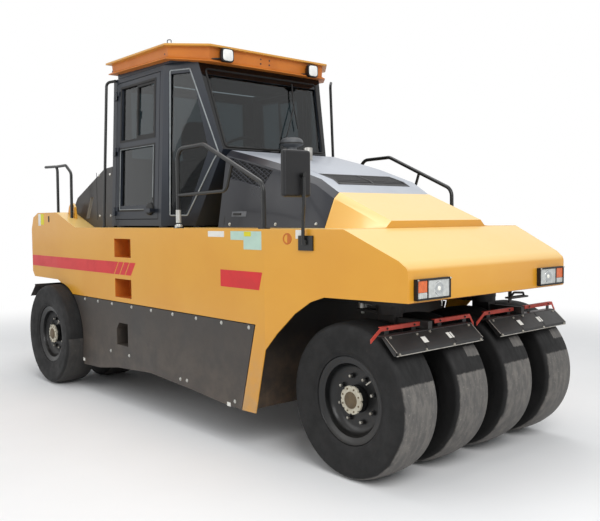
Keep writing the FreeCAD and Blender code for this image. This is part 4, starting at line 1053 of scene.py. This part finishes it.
def tyre_form(form, x, y):
    """A tyre turned about its axle: bead, bulged wall with two thin ribs, shoulder and tread."""
    half = [(BEAD_HALF, 0.256), (BEAD_HALF, BEAD_R), (BEAD_HALF + 0.020, BEAD_R + 0.003),
            (BEAD_HALF + 0.028, 0.318), (BEAD_HALF + 0.032, 0.322), (BEAD_HALF + 0.035, 0.334),
            (TYRE_HALF - 0.009, 0.362), (TYRE_HALF - 0.003, 0.388), (TYRE_HALF - 0.0005, 0.412),
            (TYRE_HALF, 0.440), (TYRE_HALF, 0.468)]
    for i in range(9):
        a = math.pi / 2 * i / 8
        half.append((TYRE_HALF - 0.042 * (1 - math.cos(a)), TYRE_R - 0.008 - 0.042 * (1 - math.sin(a))))
    half += [(TYRE_HALF * 0.5, TYRE_R - 0.002), (0.0, TYRE_R)]
    profile = [(-along, radius) for along, radius in half]
    profile += [corner for corner in reversed(half) if corner[0] > 0]
    form.turned(profile, (x, y, TYRE_R), (0, 1, 0), 0, 96, loop=True)


REAR_AXLE = (sum(corner.x for corner in span("rear_tyres_left")) / 2)
PITCH = (span("front_tyre_4")[0].y - span("front_tyre_1")[0].y) / 3
front_rubber = tyre_rubber("front_tyre_rubber", AXLE_X, 1.0, 0.95, -PITCH)
rear_rubber = tyre_rubber("rear_tyre_rubber", AXLE_X + REAR_AXLE, -1.0, 0.3, -9.0)
for number in (1, 2, 3, 4):
    tyre = Form()
    tyre_form(tyre, 0.0, (number - 2.5) * PITCH)
    tyre.instead(f"front_tyre_{number}", f"front_wheel_{number}", "tyre", [front_rubber], 42.0)
for word, places in (("right", (-2, -1, 0)), ("left", (1, 2))):
    tyres = Form()
    for place in places:
        tyre_form(tyres, REAR_AXLE, place * PITCH)
    tyres.instead("rear_tyres_" + word, "rear_wheels_" + word, "tyre", [rear_rubber], 42.0)

# Rims: pressed steel, rolled flanges with a lock ring, a dished disc held by eight nuts on
# studs, a notched hub ring in pale primer, a brown grease cap and a bent valve.
rim_black = painted("rim_enamel", (16, 17, 18), (25, 25, 25), 0.34, coat=0.1, gloss=0.4,
                    dirt=linear(80, 72, 62), dirt_top=0.6, dirt_share=0.2)
hub_cream = painted("hub_primer", (196, 190, 172), (168, 160, 142), 0.55, cloud=16.0)
cap_brown = painted("grease_cap", (92, 76, 50), (72, 58, 40), 0.5, cloud=20.0)
nut_steel = painted("wheel_nut", (176, 172, 162), (132, 126, 116), 0.4, metal=0.6, cloud=20.0)
RIM_FINISHES = [rim_black, hub_cream, cap_brown, nut_steel]
RIM_FLANGE, RIM_R, HUB_R, HUB_FACE, DISC_FACE, CAP_R = 0.130, 0.2397, 0.095, 0.114, 0.042, 0.054
NUT_COUNT, NUT_RING = 8, 0.155
NOTCHES, NOTCH_DEEP, SCREW_RING = 8, 0.011, 0.078


def rim_form(form, x, y, side):
    """One rim about its axle, its dish open towards side; the hub's bore stays round."""
    at, way = (x, y, TYRE_R), (0.0, side, 0.0)
    flanges = [(-RIM_FLANGE, 0.292), (-0.1183, 0.2915), (-0.1183, 0.2537), (0.1183, 0.2537),
               (0.1183, 0.2915), (0.122, 0.2920), (RIM_FLANGE, 0.2905), (RIM_FLANGE + 0.0005, 0.282),
               (0.122, 0.266), (0.116, RIM_R + 0.006), (0.098, RIM_R), (0.088, RIM_R)]
    dish = [(DISC_FACE + 0.036, RIM_R - 0.004), (DISC_FACE + 0.018, RIM_R - 0.014),
            (DISC_FACE + 0.004, 0.206), (DISC_FACE, 0.186), (DISC_FACE, HUB_R - 0.002),
            (DISC_FACE - 0.016, HUB_R - 0.002), (DISC_FACE - 0.016, 0.186), (DISC_FACE - 0.004, 0.214)]
    shell = flanges + dish + [(0.064, RIM_R), (0.060, RIM_R + 0.001), (-RIM_FLANGE, RIM_R)]
    form.turned(shell, at, way, 0, 72, loop=True)
    lock_ring = [(0.124, 0.2925), (0.128, 0.2955), (0.132, 0.2925), (0.128, 0.2895)]
    form.turned(lock_ring, at, way, 0, 72, loop=True)
    form.turned([(DISC_FACE - 0.060, 0.070), (DISC_FACE + 0.006, HUB_R - 0.006),
                 (HUB_FACE - 0.020, HUB_R - 0.012), (HUB_FACE - 0.016, HUB_R - 0.014)], at, way, 0, 48)
    outlines = []
    for out, inset in ((HUB_FACE - 0.018, 0.0), (HUB_FACE - 0.003, 0.0), (HUB_FACE, 0.004)):
        ring = []
        for k in range(96):
            t = 2 * math.pi * k / 96
            r = HUB_R - inset - NOTCH_DEEP * max(0.0, math.cos(NOTCHES * t)) ** 6
            ring.append((x + r * math.cos(t), y + side * out, TYRE_R + r * math.sin(t)))
        outlines.append(ring)
    form.skin(outlines, 1)
    for k in range(NOTCHES):
        t = 2 * math.pi * (k + 0.5) / NOTCHES
        screw = (x + SCREW_RING * math.cos(t), y + side * HUB_FACE, TYRE_R + SCREW_RING * math.sin(t))
        form.turned([(-0.001, 0.0065), (0.004, 0.0060)], screw, way, 2, 6)
    cap = [(-0.002, CAP_R + 0.004), (0.004, CAP_R), (0.005, CAP_R - 0.006), (0.011, CAP_R - 0.012),
           (0.013, 0.020)]
    form.turned([(HUB_FACE + along, radius) for along, radius in cap], at, way, 2, 40)
    for i in range(NUT_COUNT):
        a = 2 * math.pi * (i + 0.4) / NUT_COUNT
        place = (x + NUT_RING * math.cos(a), y + side * DISC_FACE, TYRE_R + NUT_RING * math.sin(a))
        form.turned([(-0.002, 0.0205), (0.004, 0.0195)], place, way, 0, 20)
        form.turned([(0.003, 0.0155), (0.018, 0.0155), (0.0205, 0.012)], place, way, 0, 6, a)
        form.turned([(0.019, 0.0095), (0.034, 0.0095), (0.036, 0.006)], place, way, 3, 12)
    valve = Vector((x + 0.17, y + side * 0.070, TYRE_R + 0.150))
    stem = [valve, valve + Vector((0.0, side * 0.030, 0.0)), valve + Vector((-0.03, side * 0.042, -0.026))]
    form.rod(bent(stem, 0.012, 4), 0.005, 3, 10)


for number in (1, 2, 3, 4):
    rim = Form()
    rim_form(rim, 0.0, (number - 2.5) * PITCH, -1 if number in (1, 3) else 1)
    rim.instead(f"front_rim_{number}", f"front_wheel_{number}", "rim_black", RIM_FINISHES, 36.0)
SHAFT_R = 0.055
for word, places, side in (("right", (-2, -1, 0), -1), ("left", (1, 2), 1)):
    rims = Form()
    for place in places:
        rim_form(rims, REAR_AXLE, place * PITCH, side)
    low, high = span("rear_rims_" + word)
    ends = (low.y + (0.0 if side > 0 else 0.10), high.y - (0.10 if side > 0 else 0.0))
    rims.turned([(ends[0], SHAFT_R), (ends[1], SHAFT_R)], (REAR_AXLE, 0.0, TYRE_R), (0, 1, 0), 0, 32)
    rims.instead("rear_rims_" + word, "rear_wheels_" + word, "rim_black", RIM_FINISHES, 36.0)

# Scrapers: folded black plates ahead of the front tyres with pale strips on their edges as painted
# highlight, bolted along top and bottom, two seams and two blank labels each, and red bars that ride
# over the tread.
scraper_black = painted("scraper_enamel", (28, 27, 27), (40, 38, 36), 0.42, cloud=5.0)
# Pale metal for the scraper plates' edges: a painted highlight.
edge_painted_highlight = painted("edge_painted_highlight", (188, 184, 176), (150, 144, 134), 0.4, metal=0.5, cloud=18.0)
scraper_red = painted("scraper_red", (188, 66, 50), (160, 52, 40), 0.5, cloud=8.0)
PLATE_LOW, PLATE_HIGH = Vector((0.4504, 0.0, 0.898)), Vector((0.3503, 0.0, 0.9848))
PLATE_UP = PLATE_HIGH - PLATE_LOW
PLATE_OUT = Vector((PLATE_UP.z, 0.0, -PLATE_UP.x)).normalized()
LIP_DEEP, PLATE_THICK, FLANGE = 0.022, 0.005, 0.060
PLATE_BOLTS = [(0.05, 0.90), (0.33, 0.86), (0.48, 0.90), (0.95, 0.88)]   # share along Y, share up the slope
LIP_BOLTS = (0.03, 0.32, 0.64, 0.97)
BARS = [   # both ends from the pair's middle, and the bent tip beyond an end
    ((-0.412, -0.042), -0.505), ((0.110, 0.500), 0.545)]
BAR_X, BAR_Z, BAR_TIP_DROP, BAR_SHEET = 0.293, (1.010, 1.036), 0.066, 0.005


def at_plate(share, y, lift=0.0):
    """A point on a scraper plate's outer face, from its low to its high edge."""
    return PLATE_LOW + PLATE_UP * share + PLATE_OUT * lift + Vector((0.0, y, 0.0))


def plate_strip(form, shares, ys, low, high, finish):
    """A flat strip lying on a scraper plate."""
    corners = [at_plate(share, y, low) for share, y in oblong(shares, ys)]
    form.plate(corners, PLATE_OUT * (high - low), finish)


for side, word in ((-1, "right"), (1, "left")):
    low, high = span("scraper_" + word)
    ys = (low.y, high.y)
    wide, middle = high.y - low.y, (low.y + high.y) / 2
    scraper = Form()
    plate_strip(scraper, (0.0, 1.0), ys, -PLATE_THICK, 0.0, 0)
    scraper.block((PLATE_LOW.x - PLATE_THICK, PLATE_LOW.x), ys, (PLATE_LOW.z - LIP_DEEP, PLATE_LOW.z), 0)
    scraper.block((PLATE_HIGH.x - FLANGE, PLATE_HIGH.x + 0.002), ys,
                  (PLATE_HIGH.z - 0.004, PLATE_HIGH.z + 0.003), 0)
    cheek = [(PLATE_LOW.x, PLATE_LOW.z), (PLATE_HIGH.x, PLATE_HIGH.z), (PLATE_HIGH.x - 0.030, PLATE_HIGH.z),
             (PLATE_LOW.x - 0.024, PLATE_LOW.z - LIP_DEEP), (PLATE_LOW.x, PLATE_LOW.z - LIP_DEEP)]
    for y in (ys[0], ys[1] - 0.005):
        scraper.plate([(x, y, z) for x, z in cheek], (0.0, 0.005, 0.0), 0)
    for share, up in PLATE_BOLTS:
        scraper.bolt(at_plate(up, ys[0] + wide * share), PLATE_OUT, 0.0065, 1)
    for share in LIP_BOLTS:
        scraper.bolt((PLATE_LOW.x, ys[0] + wide * share, PLATE_LOW.z - 0.012), (1, 0, 0), 0.0065, 1)
    for share in (1 / 3, 2 / 3):
        y = ys[0] + wide * share
        plate_strip(scraper, (0.0, 1.0), (y - 0.003, y + 0.003), -0.002, 0.0014, 2)
    # Pale strips on the lip and the plate ends: painted highlight.
    scraper.block((PLATE_LOW.x - 0.001, PLATE_LOW.x + 0.001), ys,
                  (PLATE_LOW.z - LIP_DEEP - 0.001, PLATE_LOW.z - LIP_DEEP + 0.004), 3)
    for y in (ys[0], ys[1] - 0.0054):
        plate_strip(scraper, (0.0, 0.99), (y, y + 0.0054), -0.001, 0.0008, 3)
    for share in (0.36, 0.66):
        y = ys[0] + wide * share
        plate_strip(scraper, (0.30, 0.66), (y - 0.026, y + 0.026), -0.001, 0.0013, 4)
    scraper.instead("scraper_" + word, word + "_yoke", "chassis_black",
                    [scraper_black, nut_steel, rubber_black, edge_painted_highlight, film_white])
    bars = Form()
    for ends, tip in BARS:
        out = 1 if tip > 0 else -1
        bend = ends[1] if out > 0 else ends[0]
        across = (middle + ends[0], middle + ends[1])
        bars.block((BAR_X, BAR_X + BAR_SHEET), across, BAR_Z, 0)
        bars.block((BAR_X - 0.020, BAR_X), across, (BAR_Z[1] - 0.005, BAR_Z[1]), 0)
        bars.skin([[(x, middle + bend, BAR_Z[0]), (x, middle + bend, BAR_Z[1]),
                    (x, middle + tip, BAR_Z[1] - BAR_TIP_DROP), (x, middle + tip, BAR_Z[0] - BAR_TIP_DROP)]
                   for x in (BAR_X, BAR_X + BAR_SHEET)], 0)
        for share in (0.15, 0.85):
            y = middle + ends[0] + (ends[1] - ends[0]) * share
            bars.block((BAR_X - 0.003, BAR_X), (y - 0.02, y + 0.02),
                       (PLATE_HIGH.z + 0.002, BAR_Z[1] - 0.006), 1)
            bars.bolt((BAR_X + BAR_SHEET, y, (BAR_Z[0] + BAR_Z[1]) / 2), (1, 0, 0), 0.005, 1)
    bars.instead("scraper_bars_" + word, word + "_yoke", "scraper_red", [scraper_red, scraper_black])
